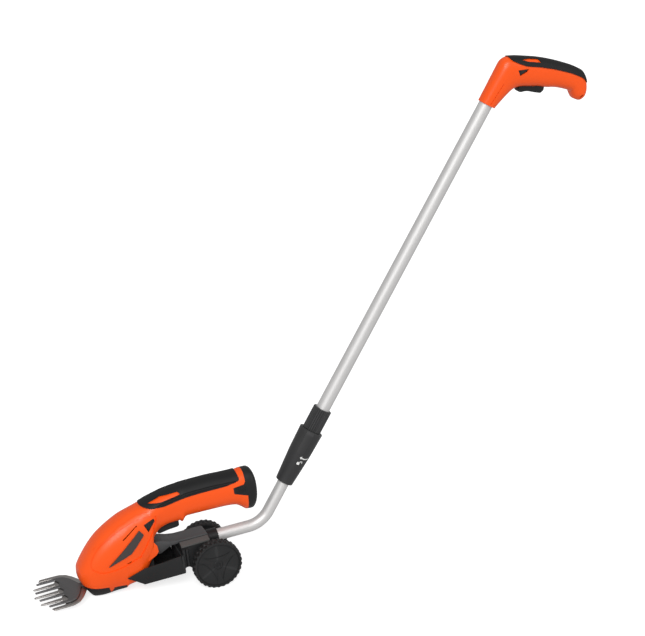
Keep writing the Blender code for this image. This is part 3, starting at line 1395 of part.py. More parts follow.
def handle_controls():
    trigger = side_plate(lifted(HANDLE_TRIGGER_EDGE), -HANDLE_TRIGGER_HALF, HANDLE_TRIGGER_HALF)
    lever = piece("handle_trigger", trigger, BLACK, POLE)
    inner = HANDLE_TRIGGER_HALF - TRIGGER_WALL
    pocket = side_plate(lifted(HANDLE_TRIGGER_POCKET), -inner, inner)
    cut(lever, helper("handle_trigger_pocket", pocket, POLE))
    foot = ALONG * HANDLE_SPRING_FOOT[0] + SLIDE * HANDLE_SPRING_FOOT[1]
    length = HANDLE_SPRING_TOP - GAP - HANDLE_SPRING_FOOT[1]
    coil = spring_bm((foot.x, 0.0, foot.y + HANDLE_Z), (SLIDE.x, 0.0, SLIDE.y), length)
    piece("handle_trigger_spring", coil, BRIGHT_STEEL, POLE)
    switch_rise = (HANDLE_SWITCH_LOW, HANDLE_SWITCH_LOW + SWITCH_HEIGHT)
    block = side_plate(sloped_box(HANDLE_SWITCH_ALONG, switch_rise), -SWITCH_HALF, SWITCH_HALF)
    piece("handle_switch", block, BLACK, POLE)
    lock = side_plate(lifted(HANDLE_LOCK_EDGE), -HANDLE_LOCK_HALF, HANDLE_LOCK_HALF)
    piece("handle_lock_button", lock, BLACK, POLE)


wheels_and_axle()
trolley_base()
top_arm()
lower_tube()
rear_cap(shears_shells())
glide_shoe()
covers()
blades()
drive_train()
shears_controls()
shears_electrics()
upper_pole()
handle_shells()
handle_controls()
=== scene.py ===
"""Looks of cordless grass shears docked in a wheeled trolley with a telescopic pole and a top handle.

Fine pieces are built over the fixed frame.
Sizes are millimetres in one of two side frames until a piece is placed.
Shears frame: origin on the wheel axle, pitched nose down, a point is (along, across, up).
Pole frame: origin at the lower end of the clamp's sleeve, up along the pole.
"""

import json
import math

import bmesh
import bpy
from bpy.props import FloatProperty, FloatVectorProperty, IntProperty, PointerProperty
from mathutils import Matrix, Vector


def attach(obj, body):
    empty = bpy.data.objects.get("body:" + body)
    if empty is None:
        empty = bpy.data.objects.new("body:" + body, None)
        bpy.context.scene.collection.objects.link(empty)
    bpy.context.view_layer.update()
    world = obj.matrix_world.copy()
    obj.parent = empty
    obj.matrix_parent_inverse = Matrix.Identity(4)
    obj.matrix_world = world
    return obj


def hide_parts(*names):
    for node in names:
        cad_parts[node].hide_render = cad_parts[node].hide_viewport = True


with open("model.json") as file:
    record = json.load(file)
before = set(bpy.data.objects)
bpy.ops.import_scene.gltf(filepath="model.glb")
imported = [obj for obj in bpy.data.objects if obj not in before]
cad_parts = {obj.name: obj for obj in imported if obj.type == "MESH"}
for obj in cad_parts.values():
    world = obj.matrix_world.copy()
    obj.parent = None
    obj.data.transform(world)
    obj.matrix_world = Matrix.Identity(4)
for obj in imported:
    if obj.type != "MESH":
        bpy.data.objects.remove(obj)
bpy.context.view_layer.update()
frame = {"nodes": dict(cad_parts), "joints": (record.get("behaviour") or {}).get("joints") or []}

bl_info = {
    "name": "Grass shears on a wheeled pole",
    "version": (1, 0, 0),
    "blender": (4, 5, 0),
    "location": "View3D > Sidebar > Grass shears",
    "description": "Builds the shears, their trolley, the pole and the top handle over a fixed frame",
    "category": "Add Mesh",
}

SIDES = (("left", -1), ("right", 1))

# Clearances and walls
GAP = 0.3
LOCK_PLAY = 0.6
FAR = 90.0
MERGE = 0.0005
CORNER_SHARE = 0.45
SHELL_WALL = 2.6
COVER_WALL = 1.3
TOP_SQUARENESS = 2.4

# Sections of the shears: top point, bottom point, half width at each, and squareness of the lower half
BODY_SECTIONS = (
    (-212.0, 31.0, -211.6, 19.0, 9.0, 9.0, 2.4),
    (-210.3, 38.7, -208.5, 11.0, 17.0, 16.0, 2.4),
    (-205.5, 46.5, -205.0, 4.0, 22.0, 20.0, 2.4),
    (-197.5, 57.3, -199.5, -6.0, 26.5, 24.0, 2.4),
    (-187.0, 70.0, -192.0, -14.4, 30.0, 27.0, 2.4),
    (-172.5, 83.8, -176.0, -16.5, 33.5, 29.0, 2.4),
    (-156.0, 94.8, -160.0, -15.4, 35.5, 30.0, 2.4),
    (-138.0, 104.3, -143.8, -13.4, 36.5, 30.0, 3.0),
    (-131.0, 107.2, -139.8, -7.0, 36.5, 29.0, 5.0),
    (-122.0, 110.1, -118.5, -3.2, 36.0, 28.5, 5.0),
    (-112.0, 113.0, -108.0, 5.0, 35.0, 25.5, 3.6),
    (-104.0, 115.3, -100.0, 16.0, 34.0, 25.0, 3.2),
    (-98.0, 117.2, -95.0, 25.0, 32.5, 26.0, 3.0),
    (-93.0, 118.7, -92.6, 34.0, 31.0, 26.5, 3.0),
    (-89.0, 120.1, -91.5, 44.0, 30.0, 26.0, 3.0),
    (-84.5, 121.4, -90.0, 54.5, 28.5, 25.0, 2.6),
    (-79.5, 123.0, -84.0, 62.5, 27.5, 22.5, 2.8),
    (-72.0, 125.1, -75.5, 70.5, 26.0, 20.5, 3.0),
    (-58.0, 128.1, -57.0, 75.5, 24.5, 20.0, 3.2),
    (-44.0, 130.2, -42.6, 75.0, 23.0, 20.0, 3.0),
    (-38.0, 130.8, -38.5, 71.5, 22.5, 20.0, 2.8),
    (-30.0, 131.6, -30.5, 79.0, 21.8, 20.0, 2.6),
    (8.0, 132.2, 8.0, 78.0, 21.0, 20.0, 2.4),
    (34.0, 130.8, 34.0, 77.3, 21.3, 20.3, 2.4),
    (50.0, 130.2, 50.0, 75.0, 21.8, 20.8, 2.4),
    (58.0, 130.4, 58.5, 69.5, 22.3, 21.3, 2.4),
    (66.5, 131.7, 67.0, 62.8, 22.6, 21.6, 2.4),
    (76.0, 131.5, 75.4, 62.2, 22.6, 21.6, 2.4),
    (82.2, 127.8, 80.4, 66.0, 21.5, 20.5, 2.4),
    (85.6, 118.2, 83.9, 75.6, 18.5, 17.5, 2.4),
    (86.4, 106.2, 85.5, 87.4, 10.0, 9.0, 2.4),
)
COVER_EDGE = (
    (-113.0, 150.0), (-109.0, 121.0), (-100.0, 117.0), (-88.0, 113.5), (-66.0, 112.5), (-40.0, 116.0),
    (-14.0, 117.5), (38.0, 117.7), (58.5, 121.0), (54.5, 150.0),
)
COVER_WINDOW = ((-92.0, 119.0), (-69.0, 126.0), (-41.0, 127.8), (-37.5, 123.0), (-70.0, 119.0))
CAP_EDGE = (
    (68.5, 150.0), (67.0, 117.0), (64.0, 112.7), (47.0, 111.0), (47.0, 101.0), (68.5, 93.0),
    (68.5, 40.0),
)
PLATE_EDGE = ((-168.0, 40.0), (-112.0, 87.0), (-106.0, 78.0), (-130.0, 53.0))
SHOE_EDGE = (
    (-230.0, 9.2), (-205.0, 9.0), (-186.0, 5.2), (-171.0, 3.0), (-168.0, -9.5), (-166.4, -9.5),
    (-162.4, -0.4), (-142.6, -2.0),
)
LOCK_EDGE = ((-103.0, 92.4), (-87.0, 98.2), (-85.3, 94.2), (-97.3, 79.6))
CHEEK_EDGE = ((-103.7, 61.3), (-93.0, 60.7), (-86.8, 50.5), (-85.7, 40.4), (-90.3, 34.8), (-103.7, 27.9))
WING_EDGE = (
    (-142.0, 13.0), (-119.6, -2.4), (-117.2, -4.6), (-52.2, -4.6), (-54.2, 26.2), (-84.0, 23.6),
    (-113.0, 22.0),
)
SIDE_PANEL_EDGE = (
    (-196.0, 43.0), (-189.5, 58.0), (-177.0, 72.5), (-160.0, 83.5), (-142.0, 92.8), (-124.0, 99.5),
    (-108.0, 103.0), (-92.0, 104.5), (-80.0, 102.0), (-86.0, 84.0), (-95.0, 70.0), (-104.0, 56.0),
    (-113.0, 43.8), (-134.0, 35.5), (-157.0, 31.5), (-180.0, 30.5),
)
UPPER_SLOT = ((-139.8, 78.2), (-114.6, 94.9), (-113.6, 92.6), (-114.8, 91.8), (-115.4, 92.6), (-138.8, 76.6))
LOWER_SLOT = ((-138.6, 35.8), (-131.0, 37.6), (-131.4, 39.4), (-138.0, 37.8))
LOWER_STEP = ((-129.6, 38.2), (-113.9, 42.4), (-113.3, 44.6), (-130.0, 40.3))
CREASE = (
    (-184.4, 69.3), (-141.2, 97.9), (-111.7, 108.6), (-89.0, 110.4), (-111.7, 107.4), (-141.2, 96.5),
    (-184.0, 67.9),
)
BODY_SCREWS = ((-184.0, 48.0), (-152.0, 82.0), (-119.5, 36.0), (-40.0, 104.0))
BOSS_R = 4.2
SCREW_SEAT = 10.0
SCREW_HOLE_R = 1.6
SCREW_WELL_R = 3.0

# Openings and engraving of the shell
TRIGGER_OPENING = ((-79.9, -8.3, 55.0), (-43.0, 8.3, 80.0))
CONTACT_OPENING = ((-99.4, -9.0, 39.0), (-81.4, 9.0, 47.0))
MOUTH_HALF = ((-230.0, 30.0), (-204.0, 19.1), (-198.0, 14.6), (-150.0, 14.6))
MOUTH_EDGE = (*((u, -y) for u, y in MOUTH_HALF), *reversed(MOUTH_HALF))
MOUTH_LOW = 3.1
MOUTH_HIGH = 8.4
FLANK_START = 5.0
THROUGH_WALL = 4.0
FLANK_CUTS = ((UPPER_SLOT, THROUGH_WALL), (LOWER_SLOT, THROUGH_WALL), (LOWER_STEP, 1.95), (CREASE, 0.45))
SCALLOP_PLACES = range(-24, 48, 4)
SCALLOP_R = 1.5
SCALLOP_DROP = 0.8
CHEEK_SPAN = (22.3, 25.2)
COVER_AROUND = 144
COVER_GROOVE_PLACES = (22, 25, 28)
COVER_GROOVE = 0.7
CAP_REACH = FAR + 30.0
TONGUE_RIBS = (51.0, 54.5, 58.0, 61.5, 65.0)
TRIGGER_EDGE = (
    (-43.6, 82.2), (-79.3, 82.2), (-79.3, 62.5), (-75.8, 61.0), (-60.0, 63.6), (-46.6, 64.6),
    (-43.6, 66.5),
)

# Sections of the top handle, measured from the lip of its socket
HANDLE_LIP = 668.0
HANDLE_WALL = 1.8
HANDLE_SECTIONS = (
    (-12.5, 0.0, 14.6, 0.0, 13.5, 13.5, 2.2),
    (-12.7, 24.0, 18.4, 15.1, 14.6, 14.6, 2.3),
    (-13.3, 64.0, 26.2, 38.5, 16.5, 16.5, 2.5),
    (-9.8, 75.0, 35.3, 47.5, 17.0, 17.0, 2.5),
    (2.5, 83.0, 49.0, 54.3, 17.3, 17.0, 2.5),
    (23.0, 92.0, 63.0, 61.0, 17.4, 17.0, 2.5),
    (45.0, 100.4, 77.5, 66.0, 17.4, 16.6, 2.5),
    (63.6, 105.8, 88.5, 71.3, 17.3, 16.3, 2.5),
    (86.0, 110.8, 103.5, 76.0, 17.0, 16.2, 2.5),
    (105.0, 113.8, 117.0, 78.5, 16.8, 16.2, 2.5),
    (117.5, 114.4, 122.4, 74.8, 16.5, 16.0, 2.5),
    (129.0, 109.2, 129.4, 71.0, 16.0, 15.6, 2.5),
    (138.0, 98.3, 137.8, 72.0, 14.4, 14.2, 2.5),
    (142.8, 88.5, 142.6, 78.0, 9.0, 9.0, 2.5),
)
HANDLE_COVER_EDGE = (
    (-9.0, 81.5), (-3.0, 76.5), (10.0, 77.5), (23.0, 79.5), (45.0, 88.5), (70.0, 96.5), (98.0, 103.0),
    (120.0, 105.5), (142.0, 101.0), (150.0, 160.0), (-9.0, 160.0),
)
HANDLE_COVER_WINDOW = ((12.2, 84.6), (23.1, 91.4), (37.7, 97.5), (43.9, 94.9), (24.3, 87.1))
HANDLE_LOCK_EDGE = ((14.0, 68.0), (28.5, 77.5), (27.5, 72.0), (21.0, 62.0))
HANDLE_LEVER_EDGE = (
    (34.0, 49.5), (34.0, 41.6), (37.0, 39.8), (41.5, 41.0), (45.0, 44.3), (51.0, 47.4), (63.0, 50.8),
    (72.5, 54.2), (74.5, 60.5), (70.5, 70.0), (31.5, 54.5),
)
HANDLE_SLOPE = math.radians(22.0)
LEVER_POCKET = ((37.0, 48.0), (46.0, 51.0), (62.0, 55.5), (70.5, 58.5), (66.0, 73.0), (31.0, 62.0))
SEAM_EDGE = ((0.3, 2.0), (1.1, 2.0), (3.5, 39.0), (2.7, 39.0))
NOTCH_EDGE = ((133.6, 76.6), (135.8, 76.9), (137.2, 83.0), (135.0, 82.6))
HANDLE_SCREWS = ((34.0, 84.0), (112.0, 98.0))

# Blades
COMB_HALF = 52.0
TINE_PITCH = 25.2
TIP_SWEEP = 4.2
COMB_SPAN = (3.4, 5.6)
CUTTER_SPAN = (5.9, 8.1)
CUTTER_REST = 2.0
PIVOT_U = -196.0
PIVOT_HOLE_R = 3.3
BOLT_PROFILE = ((0.0, 10.4), (4.6, 10.4), (5.5, 9.6), (5.5, 8.4), (3.0, 8.4), (3.0, -5.6), (0.0, -5.6))
COMB_NECK = (
    (-152.0, 14.0), (-202.0, 14.0), (-204.6, 17.0), (-208.5, 25.0), (-214.0, 35.5), (-222.0, 46.0),
    (-232.0, 51.3),
)
CUTTER_NECK = (
    (-156.0, 2.8), (-156.0, 6.0), (-210.8, 6.0), (-212.3, 10.5), (-215.5, 19.0), (-220.0, 29.0),
    (-227.0, 38.0), (-236.0, 41.6),
)

# Trolley, wheels and tubes
HULL_EDGE = ((-24.0, -6.5), (24.0, -6.5), (24.0, 37.4), (14.5, 41.2), (-14.5, 41.2), (-24.0, 37.4))
RAIL_EDGE = ((15.0, 41.4), (24.3, 37.7), (24.3, 35.4), (23.8, 35.4), (15.0, 40.6))
CRADLE_PLACES = (-115.0, -110.7, -106.4, -102.1, -97.8, -93.5)
ARM_EDGE = (
    (-80.7, 30.0), (-89.0, 32.0), (-90.4, 35.0), (-89.0, 52.4), (-84.0, 52.4), (-76.0, 51.0),
    (-63.0, 46.5), (-50.0, 44.5), (-5.0, 44.5), (-2.0, 41.5), (-50.3, 41.5), (-50.3, 40.0),
    (-64.0, 39.0),
)
AXLE_HOLE_R = 3.3
WHEEL_R = 39.0
WHEEL_FACE = 44.0
WHEEL_BACK = 28.2
TYRE_INNER = 35.2
DISC_PROFILE = (
    (7.5, 43.2), (32.9, 43.2), (33.2, 42.7), (33.7, 42.7), (34.0, 43.2), (34.6, 43.2), (34.9, 42.9),
    (34.9, 34.2), (31.9, 34.2), (31.9, 40.7), (8.4, 37.7), (7.0, 34.2), (7.0, 24.3), (3.3, 24.3),
    (3.3, 38.1), (5.7, 38.1), (5.7, 41.1), (7.5, 41.1),
)
HUB_PROFILE = ((0.0, 42.7), (3.4, 42.7), (3.8, 43.2), (6.8, 43.2), (7.2, 42.8), (7.2, 41.4), (0.0, 41.4))
ARC_CENTRE = 73.0
ARC_R = 60.0
ARC_SWEEP = 39.2
TUBE_UP = 28.8
LOWER_TUBE_R = 9.5
UPPER_TUBE_R = 11.0
TUBE_SCREW_U = -12.0
TUBE_SCREW_HOLE_R = 2.3
BEND = math.radians(53.7)
BEND_R = 44.0
BEND_CORNER = 90.4

# Clamp, measured up the pole from the sleeve's lower end
SLEEVE_LENGTH = 93.5
SLEEVE_OUTER = (
    (18.4, SLEEVE_LENGTH), (19.2, 92.7), (18.9, 85.0), (18.0, 55.0), (16.1, 27.0), (14.1, 0.8), (13.3, 0.0),
)
SLEEVE_PANEL_EDGE = ((-6.0, 100.0), (-6.0, 54.0), (6.0, 54.0), (6.0, 100.0))
COLLAR_PROFILE = ((11.3, 93.8), (14.6, 93.8), (15.0, 94.4), (15.0, 131.0), (14.5, 131.7), (11.3, 131.7))

# Stage: name, direction, strength and spread in degrees of each lamp
LAMPS = (("key", (-0.5, -1.0, 0.8), 2.0, 30.0), ("fill", (0.9, -0.8, 0.6), 0.4, 40.0))
FLOOR_R = 14.0
FLOOR_TONE = 0.60
FLOOR_GLOW = 0.72
SKY_LEVEL = 0.42
SKY_DIMMED = 0.04
CAMERA_FROM_AXLE = (-0.85682, -2.71007, 1.40707)
CAMERA_ANGLES = (-20.6, 20.0, 1.1)
FOCAL_PIXELS = 2000.0
PIXELS_ACROSS = 645.0
SENSOR_MM = 36.0

JOINTS = {joint["name"]: joint for joint in frame["joints"]}


def side_frame(along, up, origin):
    """Places millimetres of a side frame in the model, which is in metres."""
    along, up = Vector(along), Vector(up)
    turn = Matrix((along, up.cross(along), up)).transposed().to_4x4()
    return Matrix.Translation(origin) @ turn @ Matrix.Scale(0.001, 4)


SHEARS = side_frame(
    -Vector(JOINTS["shears_slide"]["axis"]),
    JOINTS["cutter_swing"]["axis"],
    JOINTS["left_wheel_spin"]["pos_m"],
)
POLE_UP = Vector(JOINTS["pole_slide"]["axis"])
POLE = side_frame(Vector((0.0, 1.0, 0.0)).cross(POLE_UP), POLE_UP, JOINTS["clamp_twist"]["pos_m"])


class ShearsSizes(bpy.types.PropertyGroup):
    """Sizes that can be changed before the pieces are built."""

    tread_lugs: IntProperty(name="Tread lugs", description="Lugs in each row of the tread", default=30, min=6)
    tread_depth: FloatProperty(
        name="Tread depth", description="Height of the lugs in millimetres", default=1.3, min=0.2
    )
    collar_ribs: IntProperty(
        name="Collar ribs", description="Ribs round the clamp's collar", default=26, min=8
    )
    panel_depth: FloatProperty(
        name="Side panel depth", description="Depth of the side panels in millimetres", default=1.5, min=0.1
    )
    blade_edge: FloatProperty(
        name="Ground edge",
        description="Width of the ground edge on the tines in millimetres",
        default=0.7,
        min=0.1,
    )
    sample_angle: FloatProperty(
        name="Sharp angle",
        description="Edges over this angle stay crisp",
        default=math.radians(32.0),
        subtype="ANGLE",
        unit="ROTATION",
    )


def colour(name, description, default):
    return FloatVectorProperty(
        name=name, description=description, default=default, subtype="COLOR", size=3, min=0.0, max=1.0
    )


class ShearsColours(bpy.types.PropertyGroup):
    """Linear colours of the finishes."""

    orange: colour("Orange", "Moulded body plastic", (0.985, 0.098, 0.006))
    black: colour("Black", "Moulded plastic of the trolley, wheels and caps", (0.014, 0.0145, 0.015))
    clamp: colour("Clamp black", "Moulded plastic of the clamp", (0.030, 0.030, 0.031))
    arm_grey: colour("Arm grey", "The trolley's top arm", (0.060, 0.061, 0.063))
    # Painted highlight: the rails are given a paler grey than the black dock they run along. The grey stands
    # in for the light their sloping faces catch.
    rail_highlight_grey: colour("Rail grey", "Sloping rails beside the trolley's arm", (0.085, 0.085, 0.082))
    grip: colour("Soft grip", "Overmoulded soft grip", (0.010, 0.010, 0.0105))
    side_plate: colour("Side plate", "Plain plate on each flank", (0.052, 0.044, 0.042))
    comb_steel: colour("Comb steel", "Ground sheet steel", (0.42, 0.40, 0.385))
    cutter_steel: colour("Cutter coating", "Dark coated steel", (0.13, 0.128, 0.13))
    bright_steel: colour("Bright steel", "Screws, axle and motor", (0.62, 0.62, 0.62))
    aluminium: colour("Aluminium", "Satin pole tubes", (0.73, 0.722, 0.715))
    mark: colour("Marks", "Printed marks on the clamp", (0.82, 0.82, 0.80))


# Shapes


def placed_grid(around, along, place, capped=True):
    """A grid wrapped round with each point put where place(share around, row) says."""
    bm = bmesh.new()
    bmesh.ops.create_grid(bm, x_segments=around, y_segments=along, size=1.0)
    for vert in bm.verts:
        i = round((vert.co.x + 1.0) / 2.0 * around)
        j = round((vert.co.y + 1.0) / 2.0 * along)
        vert.co = place((i % around) / around, j)
    bmesh.ops.remove_doubles(bm, verts=bm.verts, dist=MERGE)
    if capped:
        open_edges = [edge for edge in bm.edges if edge.is_boundary]
        bmesh.ops.holes_fill(bm, edges=open_edges, sides=0)
    bmesh.ops.recalc_face_normals(bm, faces=bm.faces)
    return bm


def eased_rows(rows, steps):
    """Rows with more between them, on curves that don't overshoot."""
    columns = []
    for column in zip(*rows):
        rise = [b - a for a, b in zip(column, column[1:])]
        slope = [rise[0]]
        for a, b in zip(rise, rise[1:]):
            slope.append(2 * a * b / (a + b) if a * b > 0 else 0.0)
        slope.append(rise[-1])
        eased = []
        for k, step in enumerate(rise):
            for part in range(steps):
                t = part / steps
                eased.append(
                    column[k]
                    + t * slope[k]
                    + t * t * (3 * step - 2 * slope[k] - slope[k + 1])
                    + t**3 * (slope[k] + slope[k + 1] - 2 * step)
                )
        eased.append(column[-1])
        columns.append(eased)
    return list(zip(*columns))


def section_point(row, share, lift):
    """A point round one section, 0 at the top, grown by lift."""
    top_u, top_w, low_u, low_w, half_top, half_low, square = row
    top, low = Vector((top_u, 0.0, top_w)), Vector((low_u, 0.0, low_w))
    angle = math.pi * (0.5 - 2.0 * share)
    height, width = math.sin(angle), math.cos(angle)
    power = 2.0 / (TOP_SQUARENESS if height > -0.01 else square)
    height = math.copysign(abs(height) ** power, height)
    width = math.copysign(abs(width) ** power, width)
    half = (top - low).length / 2
    side = half_low + (half_top - half_low) * (height + 1) / 2 + lift
    point = (top + low) / 2 + (top - low).normalized() * (half + lift) * height
    point.y = -width * side
    return point


def skin(rows, lift, around=64, steps=4, relief=None):
    """The closed surface through the sections, grown by lift, or by what relief(share) adds to it."""
    lines = eased_rows(rows, steps)

    def place(share, row):
        extra = relief(share) if relief else 0.0
        return section_point(lines[row], share, lift + extra)

    return placed_grid(around, len(lines) - 1, place)


def rows_between(low, high):
    return [row for row in BODY_SECTIONS if low < row[0] < high]


def raised(outline):
    """An outline measured from the handle's lip, put in the pole frame."""
    return [(u, w + HANDLE_LIP) for u, w in outline]


def rounded_outline(outline, radius, steps=4):
    """The outline with each corner turned into an arc, as far as its sides allow."""
    points = [Vector(p) for p in outline]
    result = []
    for k, corner in enumerate(points):
        before, after = points[k - 1] - corner, points[(k + 1) % len(points)] - corner
        reach = min(radius, before.length * CORNER_SHARE, after.length * CORNER_SHARE)
        start, end = corner + before.normalized() * reach, corner + after.normalized() * reach
        for step in range(steps + 1):
            t = step / steps
            result.append(tuple((1 - t) ** 2 * start + 2 * t * (1 - t) * corner + t * t * end))
    return result


def scaled(outline, amount):
    """The outline with each point moved out from the middle by amount."""
    middle = Vector((sum(p[0] for p in outline), sum(p[1] for p in outline))) / len(outline)
    arms = [Vector(p) - middle for p in outline]
    return [tuple(middle + arm * (1 + amount / arm.length)) for arm in arms]


def between(side, near, far):
    """Two distances across on one side, the lower first."""
    return sorted((side * near, side * far))


def extruded(bm, corners, vec):
    """A face through the corners, drawn out along vec into a solid."""
    face = bm.faces.new([bm.verts.new(corner) for corner in corners])
    grown = bmesh.ops.extrude_face_region(bm, geom=[face])["geom"]
    ends = [item for item in grown if isinstance(item, bmesh.types.BMVert)]
    bmesh.ops.translate(bm, verts=ends, vec=Vector(vec))
    bmesh.ops.recalc_face_normals(bm, faces=bm.faces)
    return bm


def bevelled(bm, edges, width, segments=2):
    """Rounds these edges over, as far as there is room."""
    bmesh.ops.bevel(
        bm,
        geom=edges,
        offset=width,
        offset_type="OFFSET",
        segments=segments,
        profile=0.5,
        affect="EDGES",
        material=-1,
        clamp_overlap=True,
    )
    return bm


def plate(outline, low=-FAR, high=FAR, edge=0.0, holes=(), plane="side", segments=2):
    """An outline made solid: (along, up) and thick across, or in plan (along, across) and thick up."""
    lay = {
        "side": lambda p, t: (p[0], t, p[1]),
        "plan": lambda p, t: (p[0], p[1], t),
        "front": lambda p, t: (t, p[0], p[1]),
    }[plane]
    bm = extruded(bmesh.new(), [lay(point, low) for point in outline], lay((0.0, 0.0), high - low))
    if edge:
        thick = Vector(lay((0.0, 0.0), 1.0))
        rim = [e for e in bm.edges if abs(thick.dot(e.verts[0].co - e.verts[1].co)) < 1e-4]
        bevelled(bm, rim, edge, segments)
    return cut(bm, *(plate(hole, low - 1.0, high + 1.0, plane=plane) for hole in holes))


def block(low, high, edge=0.0):
    """A box between two corners, with its edges rounded."""
    low, high = Vector(low), Vector(high)
    bm = bmesh.new()
    place = Matrix.Translation((low + high) / 2) @ Matrix.Diagonal((*(high - low), 1))
    bmesh.ops.create_cube(bm, size=1.0, matrix=place)
    return bevelled(bm, bm.edges[:], edge) if edge else bm


def rod(start, end, radius, segments=32):
    start, end = Vector(start), Vector(end)
    turn = Vector((0.0, 0.0, 1.0)).rotation_difference(end - start).to_matrix().to_4x4()
    bm = bmesh.new()
    bmesh.ops.create_cone(
        bm,
        cap_ends=True,
        segments=segments,
        radius1=radius,
        radius2=radius,
        depth=(end - start).length,
        matrix=Matrix.Translation((start + end) / 2) @ turn,
    )
    return bm


def across(u, w, radius, segments=24, reach=FAR):
    """A rod right across the object through a point of the side plane."""
    return rod((u, -reach, w), (u, reach, w), radius, segments)


def lathe(profile, steps, axis="Z", closed=False):
    """A profile of (radius, height) spun once round the axis."""
    bm = bmesh.new()
    verts = [bm.verts.new((radius, 0.0, height)) for radius, height in profile]
    edges = [bm.edges.new(pair) for pair in zip(verts, verts[1:])]
    if closed:
        edges.append(bm.edges.new((verts[-1], verts[0])))
    bmesh.ops.spin(
        bm,
        geom=[*verts, *edges],
        cent=(0, 0, 0),
        axis=(0, 0, 1),
        dvec=(0, 0, 0),
        angle=math.tau,
        steps=steps,
        use_merge=True,
        use_normal_flip=False,
        use_duplicate=False,
    )
    bmesh.ops.remove_doubles(bm, verts=bm.verts, dist=MERGE)
    if axis == "Y":
        quarter = Matrix.Rotation(math.radians(-90.0), 3, "X")
        bmesh.ops.rotate(bm, verts=bm.verts, cent=(0, 0, 0), matrix=quarter)
    bmesh.ops.recalc_face_normals(bm, faces=bm.faces)
    return bm


def grouped(*bms):
    """Separate solids in one bmesh."""
    target = bms[0]
    for bm in bms[1:]:
        mesh = bpy.data.meshes.new("group")
        bm.to_mesh(mesh)
        bm.free()
        target.from_mesh(mesh)
        bpy.data.meshes.remove(mesh)
    return target


def circle(centre, radius, count=32):
    angles = [math.tau * k / count for k in range(count)]
    return [(centre[0] + radius * math.cos(a), centre[1] + radius * math.sin(a)) for a in angles]


def workpiece(bm):
    mesh = bpy.data.meshes.new("workpiece")
    bm.to_mesh(mesh)
    bm.free()
    obj = bpy.data.objects.new("workpiece", mesh)
    bpy.context.scene.collection.objects.link(obj)
    return obj


def solved(operation, bm, others):
    """The solid after the Boolean with each of the others in turn, found closed each time."""
    for number, other in enumerate(others, 1):
        base, tool = workpiece(bm), workpiece(other)
        modifier = base.modifiers.new(operation, "BOOLEAN")
        modifier.operation = operation
        modifier.solver = "EXACT"
        modifier.object = tool
        graph = bpy.context.evaluated_depsgraph_get()
        mesh = bpy.data.meshes.new_from_object(base.evaluated_get(graph))
        bm = bmesh.new()
        bm.from_mesh(mesh)
        bpy.data.meshes.remove(mesh)
        for obj in (base, tool):
            data = obj.data
            bpy.data.objects.remove(obj, do_unlink=True)
            bpy.data.meshes.remove(data)
        if not bm.faces or any(len(edge.link_faces) != 2 for edge in bm.edges):
            raise RuntimeError(f"{operation} {number} of {len(others)} leaves a solid that isn't closed")
    return bm


def cut(bm, *tools):
    return solved("DIFFERENCE", bm, tools)


def joined(bm, *others):
    return solved("UNION", bm, others)


def trimmed(bm, *others):
    """What the solid shares with each of the others."""
    return solved("INTERSECT", bm, others)


def flank_wedges(outline):
    """The outline drawn outwards on both flanks."""
    return grouped(*(plate(outline, *between(side, FLANK_START, FAR)) for _, side in SIDES))


def engraved(outline, rows, depth):
    """A tool that takes a shallow bite out of both flanks where the outline lies."""
    return cut(flank_wedges(outline), skin(rows, -depth))


# Finishes

GRAIN_DEPTH = 0.0002
MOTTLE_GRAIN = 28.0
GLOSS_CHANGE = 0.05
WORN_FROM = 0.53
WORN_TO = 0.62


def filled(tree, node, values):
    """Sets each socket named, or links it where the value is another node's output."""
    for name, value in values.items():
        if isinstance(value, bpy.types.NodeSocket):
            tree.links.new(value, node.inputs[name])
        else:
            node.inputs[name].default_value = value


def added(tree, kind, values, **settings):
    """A new node with its settings made and then its sockets filled."""
    node = tree.nodes.new(f"ShaderNode{kind}")
    for name, value in settings.items():
        setattr(node, name, value)
    filled(tree, node, values)
    return node


